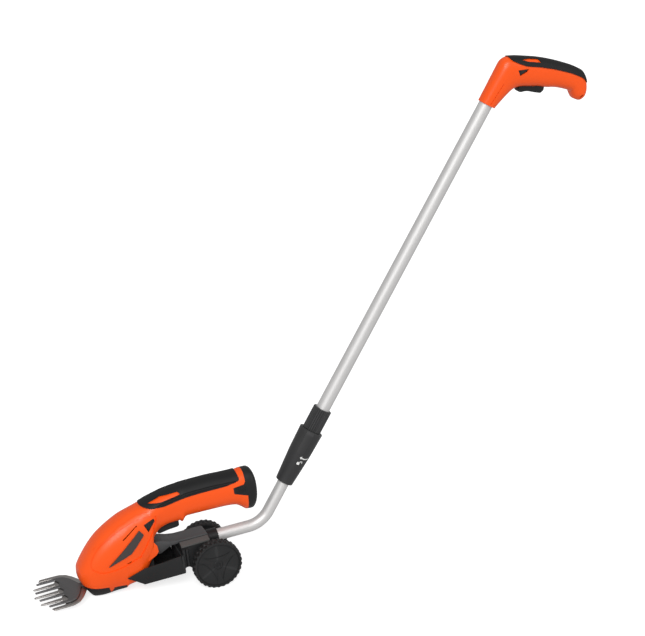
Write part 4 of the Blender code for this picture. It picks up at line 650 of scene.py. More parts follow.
def finish(
    name,
    base,
    roughness,
    metallic=0.0,
    grain=900.0,
    relief=0.15,
    mottle=0.05,
    coat=0.0,
    worn=0.0,
    specular=0.5,
):
    """A procedural finish: fine grain, slow changes of tone and gloss, and paler worn edges."""
    mat = bpy.data.materials.new(name)
    mat.use_nodes = True
    tree = mat.node_tree
    place = tree.nodes.new("ShaderNodeTexCoord").outputs["Object"]
    fine = added(tree, "TexNoise", {"Vector": place, "Scale": grain, "Detail": 3.0})
    height = fine.outputs["Fac"]
    bump = added(tree, "Bump", {"Strength": relief, "Distance": GRAIN_DEPTH, "Height": height})
    slow = added(tree, "TexNoise", {"Vector": place, "Scale": MOTTLE_GRAIN, "Detail": 4.0})
    change = slow.outputs["Fac"]
    gloss_span = {
        "From Min": 0.3,
        "From Max": 0.7,
        "To Min": roughness - GLOSS_CHANGE,
        "To Max": roughness + GLOSS_CHANGE,
    }
    gloss = added(tree, "MapRange", {"Value": change, **gloss_span})
    darker = (*[c * (1 - mottle) for c in base], 1.0)
    lighter = (*[min(1.0, c * (1 + mottle)) for c in base], 1.0)
    tone = added(tree, "Mix", {"Factor": change, "A": darker, "B": lighter}, data_type="RGBA")
    if worn:
        corners = tree.nodes.new("ShaderNodeNewGeometry").outputs["Pointiness"]
        worn_span = {"From Min": WORN_FROM, "From Max": WORN_TO, "To Max": worn}
        edges = added(tree, "MapRange", {"Value": corners, **worn_span})
        paler = (*[min(1.0, c * 2.2 + 0.04) for c in base], 1.0)
        mixed = {"Factor": edges.outputs["Result"], "A": tone.outputs["Result"], "B": paler}
        tone = added(tree, "Mix", mixed, data_type="RGBA")
    surface = {
        "Metallic": metallic,
        "Specular IOR Level": specular,
        "Coat Weight": coat,
        "Coat Roughness": 0.12,
        "Normal": bump.outputs["Normal"],
        "Roughness": gloss.outputs["Result"],
        "Base Color": tone.outputs["Result"],
    }
    filled(tree, tree.nodes["Principled BSDF"], surface)


def finishes():
    """Every finish of the object by name, made once."""
    colours = bpy.context.scene.shears_colours
    if "orange_shell" not in bpy.data.materials:
        shell = {"relief": 0.05, "mottle": 0.02, "coat": 0.06, "grain": 1400.0, "specular": 0.35}
        finish("orange_shell", colours.orange, 0.36, **shell)
        finish("black_moulding", colours.black, 0.42, relief=0.22, worn=0.25, specular=0.3)
        finish("clamp_moulding", colours.clamp, 0.44, relief=0.20, worn=0.2, specular=0.4)
        finish("arm_moulding", colours.arm_grey, 0.46, relief=0.22, worn=0.2)
        # The rails' finish carries a painted highlight: its paler grey stands in for light on their sloping
        # faces.
        finish("rail_painted_highlight", colours.rail_highlight_grey, 0.46, relief=0.22)
        finish("wheel_moulding", colours.black, 0.50, relief=0.30, worn=0.3, grain=700.0, specular=0.3)
        finish("soft_grip", colours.grip, 0.58, relief=0.45, grain=1600.0, mottle=0.08, specular=0.3)
        finish("plain_plate", colours.side_plate, 0.36, relief=0.05)
        finish("comb_steel", colours.comb_steel, 0.38, 1.0, grain=900.0, relief=0.01, mottle=0.02)
        finish("cutter_coating", colours.cutter_steel, 0.40, 0.75, grain=500.0, relief=0.12, worn=0.5)
        finish("machined_steel", colours.bright_steel, 0.26, 1.0, grain=400.0, relief=0.06)
        finish("drawn_aluminium", colours.aluminium, 0.54, 0.60, grain=600.0, relief=0.06, mottle=0.02)
        finish("brass_contact", (0.75, 0.55, 0.22), 0.30, 1.0, grain=500.0, relief=0.05)
        finish("nylon", (0.78, 0.77, 0.72), 0.50, relief=0.12)
        finish("cell_sleeve", (0.05, 0.22, 0.50), 0.38, relief=0.05)
        finish("circuit_board", (0.02, 0.20, 0.08), 0.45, relief=0.2, grain=300.0)
        finish("printed_mark", colours.mark, 0.55, relief=0.05, mottle=0.02)
    return bpy.data.materials


INNER_FINISHES = {
    "machined_steel": (
        "axle axle_clip_left axle_clip_right gear_plate gear_shaft motor motor_shaft tube_screw"
        " shell_screw_1 shell_screw_2 shell_screw_3 shell_screw_4 handle_screw_1 handle_screw_2"
        " trigger_spring handle_trigger_spring"
    ),
    "brass_contact": "contact_pin_left contact_pin_right motor_pinion",
    "nylon": "clamp_collet drive_gear",
    "cell_sleeve": "battery_cell_lower battery_cell_upper",
    "circuit_board": "charge_board",
    "black_moulding": "battery_holder contact_block power_switch handle_switch",
}


def show(name, bm, place, finish_name, body, *nodes):
    """Puts a finished solid in the model: it rides on a body and stands for the nodes named."""
    bmesh.ops.transform(bm, matrix=place, verts=bm.verts)
    mesh = bpy.data.meshes.new(name)
    bm.to_mesh(mesh)
    bm.free()
    mesh.materials.clear()
    mesh.materials.append(finishes()[finish_name])
    mesh.shade_smooth()
    mesh.set_sharp_from_angle(angle=bpy.context.scene.shears_sizes.sample_angle)
    obj = bpy.data.objects.new(name, mesh)
    bpy.context.scene.collection.objects.link(obj)
    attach(obj, body)
    if nodes:
        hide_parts(*nodes)


# Shears


def cap_outline(grow):
    """The end cap's edge, with its gap grown forwards and round its tongue."""
    edge = [(u - grow, w) for u, w in CAP_EDGE]
    for corner, rise in ((2, grow), (3, grow), (4, -grow)):
        edge[corner] = (edge[corner][0], edge[corner][1] + rise)
    return [*edge, (CAP_REACH, edge[-1][1]), (CAP_REACH, edge[0][1])]


def shoe_outline(grow, floor):
    edge = [(u, w + grow) for u, w in SHOE_EDGE]
    edge[-1] = (edge[-1][0] + grow, edge[-1][1])
    front, rear = edge[0][0], edge[-1][0]
    if floor:
        return [(front, ground(front)), (rear, ground(rear)), *reversed(edge)]
    return [(front, -FAR), (rear, -FAR), *reversed(edge)]


def ground(u):
    """Height in the shears frame of the floor below the point u."""
    turn = SHEARS.to_3x3()
    along, up = turn @ Vector((1, 0, 0)), turn @ Vector((0, 0, 1))
    return -(SHEARS.translation.z + u * along.z) / up.z


def keel(u):
    """Height of the shell's underside at u."""
    for a, b in zip(BODY_SECTIONS, BODY_SECTIONS[1:]):
        if a[2] <= u <= b[2]:
            return a[3] + (b[3] - a[3]) * (u - a[2]) / (b[2] - a[2])
    raise ValueError(f"no section of the body at {u}")


def screw_bosses(screws, rows, clearance):
    """Solid bosses for the screws, ending inside the shell."""
    return trimmed(grouped(*(across(u, w, BOSS_R) for u, w in screws)), skin(rows, -clearance))


def split_halves(solid, screws, place, name, body, node):
    """Left and right half shells from one solid, with the screw wells on the right."""
    for (side_name, side), half in zip(SIDES, (solid, solid.copy())):
        low, high = between(side, GAP / 2, -FAR)
        tools = [block((-3 * FAR, low, -FAR), (3 * FAR, high, 10 * FAR))]
        tools += [across(u, w, SCREW_HOLE_R, 16, SCREW_SEAT + GAP) for u, w in screws]
        if side > 0:
            seat = SCREW_SEAT - GAP
            tools += [rod((u, seat, w), (u, FAR, w), SCREW_WELL_R, 24) for u, w in screws]
        half = cut(half, *tools)
        show(f"{name}_{side_name}", half, place, "orange_shell", body, f"{node}_{side_name}")


class SHEARS_OT_body_shells(bpy.types.Operator):
    """Two orange half shells with their recessed flanks, slots and openings"""

    bl_idname = "shears.body_shells"
    bl_label = "Body shells"

    def execute(self, context):
        panel_depth = context.scene.shears_sizes.panel_depth
        openings = grouped(
            block(*TRIGGER_OPENING),
            plate(scaled(LOCK_EDGE, LOCK_PLAY)),
            block(*CONTACT_OPENING),
            plate(MOUTH_EDGE, MOUTH_LOW, MOUTH_HIGH, plane="plan"),
        )
        scallops = [across(u, keel(u) - SCALLOP_DROP, SCALLOP_R, 16) for u in SCALLOP_PLACES]
        solid = cut(
            skin(BODY_SECTIONS, 0.0),
            skin(BODY_SECTIONS[1:-1], -SHELL_WALL),
            plate(shoe_outline(GAP, False)),
            plate(cap_outline(GAP)),
            openings,
            engraved(rounded_outline(SIDE_PANEL_EDGE, 9.0), BODY_SECTIONS, panel_depth),
            *(engraved(outline, BODY_SECTIONS, depth) for outline, depth in FLANK_CUTS),
            grouped(*scallops),
        )
        cheeks = [plate(CHEEK_EDGE, *between(side, *CHEEK_SPAN), edge=0.8) for _, side in SIDES]
        solid = joined(solid, grouped(*cheeks), screw_bosses(BODY_SCREWS, BODY_SECTIONS, 1.2))
        split_halves(solid, BODY_SCREWS, SHEARS, "body_half", "shears", "shell")
        return {"FINISHED"}


class SHEARS_OT_grip_cover(bpy.types.Operator):
    """Soft cover over the grip with its window and fine grooves, and the black end cap"""

    bl_idname = "shears.grip_cover"
    bl_label = "Grip cover and end cap"

    def execute(self, context):
        def grooves(share):
            turn = round(min(share, 1.0 - share) * COVER_AROUND)
            return -COVER_GROOVE if turn in COVER_GROOVE_PLACES else 0.0

        thick = GAP + COVER_WALL
        cover = skin(rows_between(-135.0, 70.0), thick, around=COVER_AROUND, relief=grooves)
        cover = cut(cover, skin(rows_between(-140.0, 78.0), GAP))
        cover = trimmed(cover, plate(rounded_outline(COVER_EDGE, 4.0)))
        cover = cut(cover, plate(rounded_outline(COVER_WINDOW, 1.5)))
        show("grip_cover", cover, SHEARS, "soft_grip", "shears", "grip_pad")
        cap = cut(skin(rows_between(30.0, FAR), 0.0), skin(BODY_SECTIONS[1:-1], -SHELL_WALL))
        cap = trimmed(cap, plate(cap_outline(0.0)))
        tongue = []
        for u in TONGUE_RIBS:
            end, (low, high) = u + 1.2, (101.0, 111.0)
            outline = ((u, low), (end, low), (end, high), (u, high))
            tongue.append(engraved(outline, rows_between(20.0, 80.0), 0.7))
        show("grip_end_cap", cut(cap, *tongue), SHEARS, "black_moulding", "shears", "rear_cap")
        return {"FINISHED"}


class SHEARS_OT_side_plates(bpy.types.Operator):
    """A plain plate on each flank"""

    bl_idname = "shears.side_plates"
    bl_label = "Side plates"

    def execute(self, context):
        for name, side in SIDES:
            solid = cut(
                skin(rows_between(-200.0, -92.0), GAP + 0.3), skin(rows_between(-208.0, -87.0), -0.8)
            )
            edge = rounded_outline(PLATE_EDGE, 1.5)
            solid = trimmed(solid, plate(edge, *between(side, FLANK_START, FAR)))
            show(f"flank_plate_{name}", solid, SHEARS, "plain_plate", "shears", f"badge_{name}")
        return {"FINISHED"}


class SHEARS_OT_nose_shoe(bpy.types.Operator):
    """Black shoe under the nose"""

    bl_idname = "shears.nose_shoe"
    bl_label = "Nose shoe"

    def execute(self, context):
        solid = trimmed(skin(rows_between(-3 * FAR, -120.0), 0.0), plate(shoe_outline(0.0, True)))
        posts = []
        for u in (-184.0, -152.0):
            for _, side in SIDES:
                y = side * 17.1
                posts.append(rod((u, y, -2.0), (u, y, 16.4), 2.2, 16))
        solid = joined(solid, grouped(*posts))
        bolt_hole = rod((PIVOT_U, 0, -5.9), (PIVOT_U, 0, 3.4), PIVOT_HOLE_R)
        solid = cut(solid, plate(MOUTH_EDGE, MOUTH_LOW, FAR, plane="plan"), bolt_hole)
        show("nose_shoe", solid, SHEARS, "black_moulding", "shears", "glide_shoe")
        return {"FINISHED"}


# Blades


def comb_outline():
    """Plan of the fixed comb: neck, shoulders and five tapering tines."""
    half = [*COMB_NECK, (-245.0, COMB_HALF), (-263.7, COMB_HALF)]
    half += [(-266.7, COMB_HALF - 6.6), (-245.0, COMB_HALF - 8.5)]
    points = list(half)
    for k in (1, 0, -1):
        middle, tip = k * TINE_PITCH, -283.5 + TIP_SWEEP * k * k
        points.append((-242.5, middle + TINE_PITCH / 2))
        points += [(-245.0, middle + 4.7), (tip, middle + 1.6), (tip, middle - 1.6), (-245.0, middle - 4.7)]
    points.append((-242.5, -1.5 * TINE_PITCH))
    return points + [(u, -y) for u, y in reversed(half)]


def cutter_outline():
    """Plan of the moving blade: four tines, a round plate and a tail with an open yoke."""
    points = list(CUTTER_NECK)
    for index in range(4):
        k = 1.5 - index
        middle, tip = k * TINE_PITCH, -280.0 + TIP_SWEEP * k * k
        points += [(-240.5, middle + 3.3), (tip, middle + 2.0), (tip, middle - 2.0), (-240.5, middle - 3.3)]
        if index < 3:
            points.append((-237.0, middle - TINE_PITCH / 2))
    points += [(u, -y) for u, y in reversed(CUTTER_NECK)]
    return points + [(-172.0, -2.8), (-172.0, 2.8)]


class SHEARS_OT_blades(bpy.types.Operator):
    """Fixed comb, moving cutter and their pivot bolt"""

    bl_idname = "shears.blades"
    bl_label = "Blades"

    def execute(self, context):
        ground_edge = context.scene.shears_sizes.blade_edge
        hole = [circle((PIVOT_U, 0.0), PIVOT_HOLE_R)]
        flat = {"edge": ground_edge, "holes": hole, "plane": "plan", "segments": 1}
        comb = plate(rounded_outline(comb_outline(), 1.6, 3), *COMB_SPAN, **flat)
        show("comb", comb, SHEARS, "comb_steel", "shears", "comb_blade")
        cutter = plate(rounded_outline(cutter_outline(), 1.4, 3), *CUTTER_SPAN, **flat)
        rest = Matrix.Rotation(math.radians(CUTTER_REST), 3, "Z")
        bmesh.ops.rotate(cutter, cent=(PIVOT_U, 0.0, 0.0), matrix=rest, verts=cutter.verts)
        show("cutter", cutter, SHEARS, "cutter_coating", "cutter", "cutter_blade")
        bolt = lathe(BOLT_PROFILE, 32)
        bmesh.ops.translate(bolt, verts=bolt.verts, vec=Vector((PIVOT_U, 0.0, 0.0)))
        slot = block((PIVOT_U - 3.0, -0.6, 9.6), (PIVOT_U + 3.0, 0.6, 11.0))
        show("pivot_bolt", cut(bolt, slot), SHEARS, "machined_steel", "shears", "blade_pivot_screw")
        return {"FINISHED"}


class SHEARS_OT_controls(bpy.types.Operator):
    """The shears' trigger and its cross lock"""

    bl_idname = "shears.controls"
    bl_label = "Trigger and lock"

    def execute(self, context):
        trigger = plate(rounded_outline(TRIGGER_EDGE, 2.0), -8.0, 8.0, edge=1.2)
        trigger = joined(trigger, block((-75.3, -9.8, 81.4), (-45.6, 9.8, 83.2), 0.3))
        show("finger_trigger", trigger, SHEARS, "black_moulding", "shears_trigger", "trigger")
        lock = plate(rounded_outline(LOCK_EDGE, 1.2), -26.5, 26.5, edge=0.8)
        grooves = []
        for k in range(3):
            u = -97.5 + 3.4 * k
            for _, side in SIDES:
                low, high = between(side, 25.9, 28.0)
                grooves.append(block((u, low, 70.0), (u + 1.0, high, 110.0)))
        lock = cut(lock, grouped(*grooves))
        show("cross_lock", lock, SHEARS, "black_moulding", "shears_lock", "lock_button")
        return {"FINISHED"}


# Trolley


def dock_ribs(side):
    """Wing, two posts and a cradle rib under the shell on one side of the dock."""
    parts = [plate(WING_EDGE, *between(side, 30.6, 33.0), edge=0.6)]
    for u, radius in ((-47.4, 2.7), (-41.9, 2.3)):
        parts.append(rod((u, side * 25.4, 2.6), (u, side * 25.4, 33.0), radius, 24))
    rib = [(CRADLE_PLACES[-1], -4.1), (CRADLE_PLACES[0], -4.1)]
    rib += [(u, keel(u) - 0.6) for u in CRADLE_PLACES]
    return [*parts, plate(rib, *between(side, 10.75, 13.25))]


class SHEARS_OT_trolley(bpy.types.Operator):
    """The trolley's dock moulding and its top arm"""

    bl_idname = "shears.trolley"
    bl_label = "Trolley"

    def execute(self, context):
        hull = plate(rounded_outline(HULL_EDGE, 2.0), -50.0, 13.0, edge=0.8, plane="front")
        base = cut(hull, block((-2.0, -FAR, 22.0), (FAR, FAR, FAR)))
        base = joined(
            base,
            rod((-4.8, 0, TUBE_UP), (15.0, 0, TUBE_UP), 12.3, 48),
            block((-115.0, -31.4, -5.3), (-50.4, 31.4, -2.8)),
            block((-53.0, -31.8, -4.9), (-49.4, 31.8, 25.2)),
            *(part for _, side in SIDES for part in dock_ribs(side)),
        )
        base = cut(
            base,
            across(-43.4, -6.6, 7.0, 48),
            block((-46.5, -20.5, -16.5), (9.5, 20.5, 15.8)),
            rod((-49.3, 0, TUBE_UP), (FAR, 0, TUBE_UP), LOWER_TUBE_R + GAP, 48),
            across(0, 0, AXLE_HOLE_R),
            across(TUBE_SCREW_U, TUBE_UP, TUBE_SCREW_HOLE_R, 16),
        )
        show("dock_moulding", base, SHEARS, "black_moulding", "trolley", "trolley_base")
        for name, side in SIDES:
            # Each rail is shown in the painted-highlight finish, paler than the dock moulding beside it.
            rail = plate([(side * y, w) for y, w in RAIL_EDGE], -49.6, -3.5, plane="front")
            show(f"shoulder_rail_{name}", rail, SHEARS, "rail_painted_highlight", "trolley")
        arm = plate(rounded_outline(ARM_EDGE, 3.0), -14.5, 14.5, edge=1.2)
        groove = block((-63.2, -20.0, 20.0), (-62.6, -13.9, 60.0))
        pin_holes = [rod((-84.4, side * 6.0, 43.0), (-96.0, side * 6.0, 43.0), 1.8, 16) for _, side in SIDES]
        arm = cut(arm, groove, grouped(*pin_holes))
        show("dock_arm", arm, SHEARS, "arm_moulding", "trolley", "trolley_top_arm")
        return {"FINISHED"}


def arc_grooves(low, high):
    """Three arcs cut in a wheel's face, each curving towards the hub."""
    strips = []
    for k in range(3):
        way = math.radians(90.0 + 120.0 * k)
        middle = Vector((math.cos(way), math.sin(way))) * ARC_CENTRE
        turns = [math.radians(ARC_SWEEP * step / 24 - ARC_SWEEP / 2) for step in range(25)]
        sweep = [way + math.pi + turn for turn in turns]
        line = [tuple(middle + ARC_R * Vector((math.cos(a), math.sin(a)))) for a in sweep]
        inner = ARC_R - 1.0
        line += [tuple(middle + inner * Vector((math.cos(a), math.sin(a)))) for a in reversed(sweep)]
        strips.append(plate(line, low, high))
    return grouped(*strips)


def tread_profile(depth):
    """Radius, distance across, row of lugs (0 for none) and lug height round the tyre's section."""
    low = WHEEL_R - depth
    middle = (WHEEL_FACE + WHEEL_BACK) / 2
    return (
        (TYRE_INNER, WHEEL_FACE, 0, 0.0),
        (low - 0.9, WHEEL_FACE, 0, 0.0),
        (low, WHEEL_FACE - 0.3, 1, 0.6),
        (low, WHEEL_FACE - 0.9, 1, 1.0),
        (low, middle + 1.1, 1, 1.0),
        (low, middle + 0.6, 1, 0.5),
        (low, middle + 0.3, 0, 0.0),
        (low, middle - 0.3, 0, 0.0),
        (low, middle - 0.6, 2, 0.5),
        (low, middle - 1.1, 2, 1.0),
        (low, WHEEL_BACK + 0.9, 2, 1.0),
        (low, WHEEL_BACK + 0.3, 2, 0.6),
        (low - 0.9, WHEEL_BACK, 0, 0.0),
        (TYRE_INNER, WHEEL_BACK, 0, 0.0),
    )


def lugged_tyre(side, lugs, depth):
    """A tyre with two rows of lugs, the inner row half a lug further round."""
    profile = tread_profile(depth)

    def place(share, row):
        radius, out, line, height = profile[row % len(profile)]
        phase = share * lugs + (0.5 if line == 2 else 0.0)
        wave = abs((phase % 1.0) - 0.5) * 2.0
        radius += depth * height * min(1.0, max(0.0, (wave - 0.38) / 0.2)) if line else 0.0
        angle = share * math.tau
        return Vector((radius * math.cos(angle), side * out, radius * math.sin(angle)))

    return placed_grid(lugs * 10, len(profile), place, capped=False)


class SHEARS_OT_wheels(bpy.types.Operator):
    """Two wheels: lugged tread, disc with a three-lobed relief, and hub cap"""

    bl_idname = "shears.wheels"
    bl_label = "Wheels"

    def execute(self, context):
        sizes = context.scene.shears_sizes
        for name, side in SIDES:
            look = (SHEARS, "wheel_moulding", f"{name}_wheel")
            tyre = lugged_tyre(side, sizes.tread_lugs, sizes.tread_depth)
            show(f"tread_{name}", tyre, *look, f"tyre_{name}")
            disc = lathe([(r, side * y) for r, y in DISC_PROFILE], 96, "Y", closed=True)
            disc = cut(disc, arc_grooves(*between(side, 42.5, 46.0)))
            show(f"wheel_face_{name}", disc, *look, f"wheel_disc_{name}")
            cap = lathe([(r, side * y) for r, y in HUB_PROFILE], 64, "Y")
            show(f"hub_boss_{name}", cap, *look, f"hub_cap_{name}")
        return {"FINISHED"}


# Pole


def tube(points, radius, wall, around=64):
    """A hollow tube along points of the side plane."""
    path = [Vector((x, 0.0, z)) for x, z in points]
    order = range(len(path))
    stations = [(k, radius) for k in order] + [(k, radius - wall) for k in reversed(order)]

    def place(share, row):
        k, reach = stations[row % len(stations)]
        before, after = path[max(k - 1, 0)], path[min(k + 1, len(path) - 1)]
        along = (after - before).normalized()
        out = Vector((0.0, 1.0, 0.0)).cross(along)
        angle = share * math.tau
        return path[k] + reach * (math.cos(angle) * out + math.sin(angle) * Vector((0.0, 1.0, 0.0)))

    return placed_grid(around, len(stations), place, capped=False)


def bent_route():
    """Middle line of the lower tube: level in the dock, an arc, and straight up the pole."""
    reach = BEND_R * math.tan(BEND / 2)
    points = [(-49.0, TUBE_UP), (30.0, TUBE_UP)]
    for k in range(25):
        angle = BEND * k / 24
        u = BEND_CORNER - reach + BEND_R * math.sin(angle)
        points.append((u, TUBE_UP + BEND_R * (1 - math.cos(angle))))
    far = 75.3 + 310.0
    return [*points, (BEND_CORNER + far * math.cos(BEND), TUBE_UP + far * math.sin(BEND))]


class SHEARS_OT_pole(bpy.types.Operator):
    """Bent lower tube and straight upper tube"""

    bl_idname = "shears.pole"
    bl_label = "Pole tubes"

    def execute(self, context):
        lower = tube(bent_route(), LOWER_TUBE_R, 1.0)
        lower = cut(lower, across(TUBE_SCREW_U, TUBE_UP, TUBE_SCREW_HOLE_R, 16))
        show("bent_tube", lower, SHEARS, "drawn_aluminium", "trolley", "lower_tube")
        upper = tube([(0.0, 45.0), (0.0, 400.0), (0.0, 700.0)], UPPER_TUBE_R, 0.8)
        show("straight_tube", upper, POLE, "drawn_aluminium", "upper_pole", "upper_tube")
        return {"FINISHED"}


def sleeve_profile(lift):
    return [(radius + lift, height) for radius, height in SLEEVE_OUTER]


def mark_outlines():
    """A turning arrow and an open padlock, as (across, up) on the sleeve."""
    arrow = [(5.8, 49.0), (2.6, 51.9), (2.8, 50.2), (-1.0, 49.6), (-5.4, 50.0), (-10.0, 51.6)]
    arrow += [(-10.4, 50.1), (-5.4, 48.3), (-1.0, 47.8), (2.6, 48.4), (2.2, 46.6)]
    lock = [(5.6, 37.0), (5.6, 41.3), (1.2, 41.3), (1.2, 37.0)]
    angles = [math.radians(200.0 - 245.0 * step / 14) for step in range(15)]
    shackle = []
    for radius, way in ((2.6, angles), (1.4, reversed(angles))):
        shackle += [(-0.3 + radius * math.cos(a), 41.5 + radius * math.sin(a)) for a in way]
    return [arrow], [lock, shackle]


def on_sleeve(outline, lift, facing):
    """An outline wrapped on the side of the sleeve that faces that way."""
    facing = math.radians(facing)
    out = Vector((math.cos(facing), math.sin(facing), 0.0))
    along = Vector((math.sin(facing), -math.cos(facing), 0.0))
    corners = [out * 8.0 + along * s + Vector((0.0, 0.0, z)) for s, z in outline]
    sleeve = lathe([(0.0, 93.0), *sleeve_profile(lift)[1:-1], (0.0, 1.0)], 96)
    return trimmed(extruded(bmesh.new(), corners, out * 20.0), sleeve)


def ribbed_ring(ribs):
    """The collar above the sleeve, with a groove beside each rib."""

    def place(share, row):
        radius, height = COLLAR_PROFILE[row % len(COLLAR_PROFILE)]
        if radius > 14.9 and (share * ribs) % 1.0 > 0.6:
            radius -= 0.9
        angle = share * math.tau
        return Vector((radius * math.cos(angle), radius * math.sin(angle), height))

    return placed_grid(ribs * 5, len(COLLAR_PROFILE), place, capped=False)


class SHEARS_OT_clamp(bpy.types.Operator):
    """Twist sleeve with its marks, and the ribbed collar"""

    bl_idname = "shears.clamp"
    bl_label = "Clamp"

    def execute(self, context):
        bore = ((9.8, 0.0), (9.8, 3.0), (14.0, 12.0), (14.0, SLEEVE_LENGTH))
        sleeve = lathe([*SLEEVE_OUTER, *bore], 96, closed=True)
        panel = on_sleeve(rounded_outline(SLEEVE_PANEL_EDGE, 5.5, 6), 0.9, -113.0)
        panel = cut(panel, lathe([(0.0, 99.0), (15.5, 99.0), (15.5, 0.0), (0.0, 0.0)], 48))
        sleeve = joined(sleeve, panel)
        show("twist_grip", sleeve, POLE, "clamp_moulding", "clamp_sleeve", "twist_sleeve")
        core = [(0.0, 92.5), *sleeve_profile(0.01)[1:-1], (0.0, 0.5)]
        for name, outlines in zip(("turn_arrow", "lock_mark"), mark_outlines()):
            inks = [cut(on_sleeve(outline, 0.12, -85.0), lathe(core, 96)) for outline in outlines]
            show(name, grouped(*inks), POLE, "printed_mark", "clamp_sleeve")
        spigot = lathe(((13.6, 94.8), (13.6, 49.8), (11.3, 49.8), (11.3, 94.8)), 64, closed=True)
        collar = joined(ribbed_ring(context.scene.shears_sizes.collar_ribs), spigot)
        show("ribbed_collar", collar, POLE, "clamp_moulding", "upper_pole", "clamp_collar")
        return {"FINISHED"}


# Top handle


def lever_slot():
    """Side outline of the slot that the lever moves in."""
    along = Vector((math.cos(HANDLE_SLOPE), math.sin(HANDLE_SLOPE)))
    slide = Vector((-math.sin(HANDLE_SLOPE), math.cos(HANDLE_SLOPE)))
    reach = [along.dot(Vector(point)) for point in HANDLE_LEVER_EDGE]
    rise = [slide.dot(Vector(point)) for point in HANDLE_LEVER_EDGE]
    low, high = min(reach) - 0.5, max(reach) + 0.5
    foot, top = min(rise) - 6.0, max(rise) + 0.5
    corners = ((low, foot), (high, foot), (high, top), (low, top))
    return [tuple(along * a + slide * b) for a, b in corners]


class SHEARS_OT_top_handle(bpy.types.Operator):
    """Orange handle halves, soft cover, trigger lever and lock of the top handle"""

    bl_idname = "shears.top_handle"
    bl_label = "Top handle"

    def execute(self, context):
        rows = [(a, b + HANDLE_LIP, c, d + HANDLE_LIP, *widths) for a, b, c, d, *widths in HANDLE_SECTIONS]
        slot = plate(raised(lever_slot()), -7.4, 7.4)
        lock_hole = plate(raised(scaled(HANDLE_LOCK_EDGE, LOCK_PLAY)))
        screws = raised(HANDLE_SCREWS)
        solid = cut(skin(rows, 0.0), skin(rows[1:-1], -HANDLE_WALL))
        solid = joined(solid, screw_bosses(screws, rows, 1.0))
        solid = cut(
            solid,
            rod((0, 0, HANDLE_LIP - 32.0), (0, 0, 700.3), UPPER_TUBE_R + GAP, 64),
            grouped(slot, lock_hole),
            engraved(raised(SEAM_EDGE), rows, 1.2),
            engraved(raised(NOTCH_EDGE), rows, 3.0),
        )
        split_halves(solid, screws, POLE, "handle_half", "upper_pole", "handle_shell")
        cover = cut(skin(rows[2:], GAP + COVER_WALL, around=96), skin(rows[1:], GAP))
        cover = trimmed(cover, plate(rounded_outline(raised(HANDLE_COVER_EDGE), 4.0)))
        cover = cut(cover, flank_wedges(rounded_outline(raised(HANDLE_COVER_WINDOW), 1.2)))
        show("handle_cover", cover, POLE, "soft_grip", "upper_pole", "handle_pad")
        lever = plate(rounded_outline(raised(HANDLE_LEVER_EDGE), 2.0), -7.0, 7.0, edge=1.0)
        lever = cut(lever, plate(raised(LEVER_POCKET), -5.2, 5.2))
        show("handle_lever", lever, POLE, "black_moulding", "top_trigger", "handle_trigger")
        lock = plate(rounded_outline(raised(HANDLE_LOCK_EDGE), 1.0), -15.0, 15.0, edge=0.6)
        show("handle_lock", lock, POLE, "black_moulding", "top_lock", "handle_lock_button")
        return {"FINISHED"}


class SHEARS_OT_inner_finishes(bpy.types.Operator):
    """Finishes of the pieces of the frame that stay in view or inside"""

    bl_idname = "shears.inner_finishes"
    bl_label = "Inner finishes"

    def execute(self, context):
        for finish_name, names in INNER_FINISHES.items():
            for name in names.split():
                materials = frame["nodes"][name].data.materials
                materials.clear()
                materials.append(finishes()[finish_name])
        return {"FINISHED"}


# Stage


class SHEARS_OT_stage(bpy.types.Operator):
    """Pale floor, soft light and the camera"""

    bl_idname = "shears.stage"
    bl_label = "Stage"

    def execute(self, context):
        bm = bmesh.new()
        bmesh.ops.create_circle(bm, cap_ends=True, segments=64, radius=FLOOR_R)
        mesh = bpy.data.meshes.new("floor")
        bm.to_mesh(mesh)
        bm.free()
        mesh.materials.append(floor_finish())
        floor = bpy.data.objects.new("floor", mesh)
        context.scene.collection.objects.link(floor)
        sky()
        for name, place, energy, spread in LAMPS:
            lamp = bpy.data.lights.new(name, "SUN")
            lamp.energy = energy
            lamp.angle = math.radians(spread)
            obj = bpy.data.objects.new(name, lamp)
            obj.rotation_euler = Vector(place).to_track_quat("Z", "Y").to_euler()
            context.scene.collection.objects.link(obj)
        camera()
        context.scene.view_settings.view_transform = "Standard"
        return {"FINISHED"}


def floor_finish():
    """White to the eye, with only the object's soft shadow on it."""
    mat = bpy.data.materials.new("pale_floor")
    mat.use_nodes = True
    tree = mat.node_tree
    seen = tree.nodes.new("ShaderNodeLightPath").outputs["Is Camera Ray"]
    glow = added(tree, "Math", {0: seen, 1: FLOOR_GLOW}, operation="MULTIPLY")
    surface = {
        "Base Color": (FLOOR_TONE, FLOOR_TONE, FLOOR_TONE, 1.0),
        "Roughness": 0.9,
        "Specular IOR Level": 0.0,
        "Emission Color": (1.0, 1.0, 1.0, 1.0),
        "Emission Strength": glow.outputs["Value"],
    }
    filled(tree, tree.nodes["Principled BSDF"], surface)
    return mat


def sky():
    """Even light from all round, slightly dimmer in reflections and white to the camera."""
    world = bpy.data.worlds.new("soft_light")
    bpy.context.scene.world = world
    world.use_nodes = True
    tree = world.node_tree
    path = tree.nodes.new("ShaderNodeLightPath")
    glossy = path.outputs["Is Glossy Ray"]
    dimmed = added(tree, "Math", {0: glossy, 1: -SKY_DIMMED, 2: SKY_LEVEL}, operation="MULTIPLY_ADD")
    rays = {0: dimmed.outputs["Value"], 1: path.outputs["Is Camera Ray"]}
    level = added(tree, "Math", rays, operation="MAXIMUM")
    white = {"Strength": level.outputs["Value"], "Color": (1.0, 1.0, 1.0, 1.0)}
    filled(tree, tree.nodes["Background"], white)


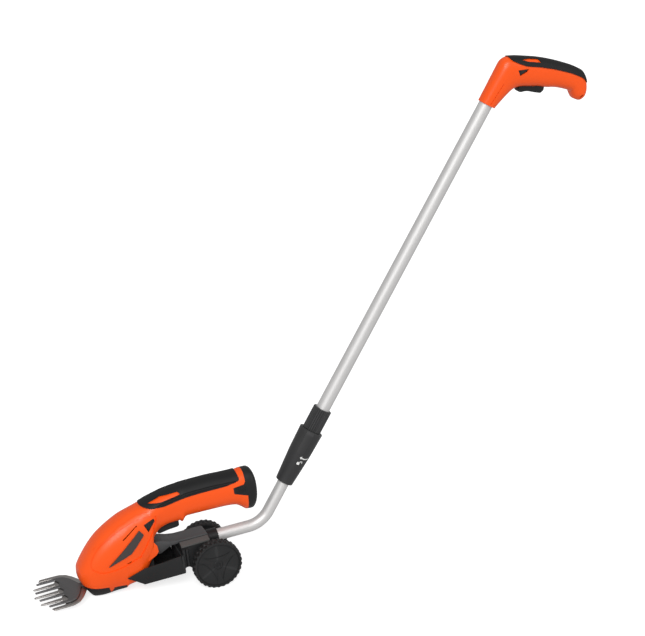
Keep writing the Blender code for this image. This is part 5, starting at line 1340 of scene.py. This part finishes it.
def camera():
    """The photograph's viewpoint, level with the object's lean in the frame."""
    axle = Vector(JOINTS["left_wheel_spin"]["pos_m"])
    place = Vector(CAMERA_FROM_AXLE) + Vector((axle.x, 0.0, axle.z))
    azimuth, height, roll = (math.radians(angle) for angle in CAMERA_ANGLES)
    flat = math.cos(height)
    back = Vector((math.sin(azimuth) * flat, -math.cos(azimuth) * flat, math.sin(height)))
    right = Vector((math.cos(azimuth), math.sin(azimuth), 0.0))
    turn = Matrix.Rotation(-roll, 3, "Y")
    back, right = turn @ back, turn @ right
    data = bpy.data.cameras.new("camera")
    data.sensor_width = SENSOR_MM
    data.lens = FOCAL_PIXELS * SENSOR_MM / PIXELS_ACROSS
    data.clip_end = 40.0
    obj = bpy.data.objects.new("camera", data)
    turn = Matrix((right, back.cross(right), back)).transposed().to_4x4()
    obj.matrix_world = Matrix.Translation(place) @ turn
    bpy.context.scene.collection.objects.link(obj)
    bpy.context.scene.camera = obj


STEPS = (
    SHEARS_OT_body_shells,
    SHEARS_OT_grip_cover,
    SHEARS_OT_side_plates,
    SHEARS_OT_nose_shoe,
    SHEARS_OT_blades,
    SHEARS_OT_controls,
    SHEARS_OT_trolley,
    SHEARS_OT_wheels,
    SHEARS_OT_pole,
    SHEARS_OT_clamp,
    SHEARS_OT_top_handle,
    SHEARS_OT_inner_finishes,
    SHEARS_OT_stage,
)


class SHEARS_PT_panel(bpy.types.Panel):
    """Sizes, colours and building steps"""

    bl_idname = "SHEARS_PT_panel"
    bl_label = "Grass shears"
    bl_space_type = "VIEW_3D"
    bl_region_type = "UI"
    bl_category = "Grass shears"

    def draw(self, context):
        for group in (context.scene.shears_sizes, context.scene.shears_colours):
            for name in group.__annotations__:
                self.layout.prop(group, name)
        for step in STEPS:
            self.layout.operator(step.bl_idname)


CLASSES = (ShearsSizes, ShearsColours, *STEPS, SHEARS_PT_panel)


def register():
    for item in CLASSES:
        bpy.utils.register_class(item)
    bpy.types.Scene.shears_sizes = PointerProperty(type=ShearsSizes)
    bpy.types.Scene.shears_colours = PointerProperty(type=ShearsColours)


def unregister():
    del bpy.types.Scene.shears_colours
    del bpy.types.Scene.shears_sizes
    for item in reversed(CLASSES):
        bpy.utils.unregister_class(item)


def main():
    register()
    for step in STEPS:
        group, name = step.bl_idname.split(".")
        getattr(getattr(bpy.ops, group), name)()


if __name__ == "__main__":
    main()
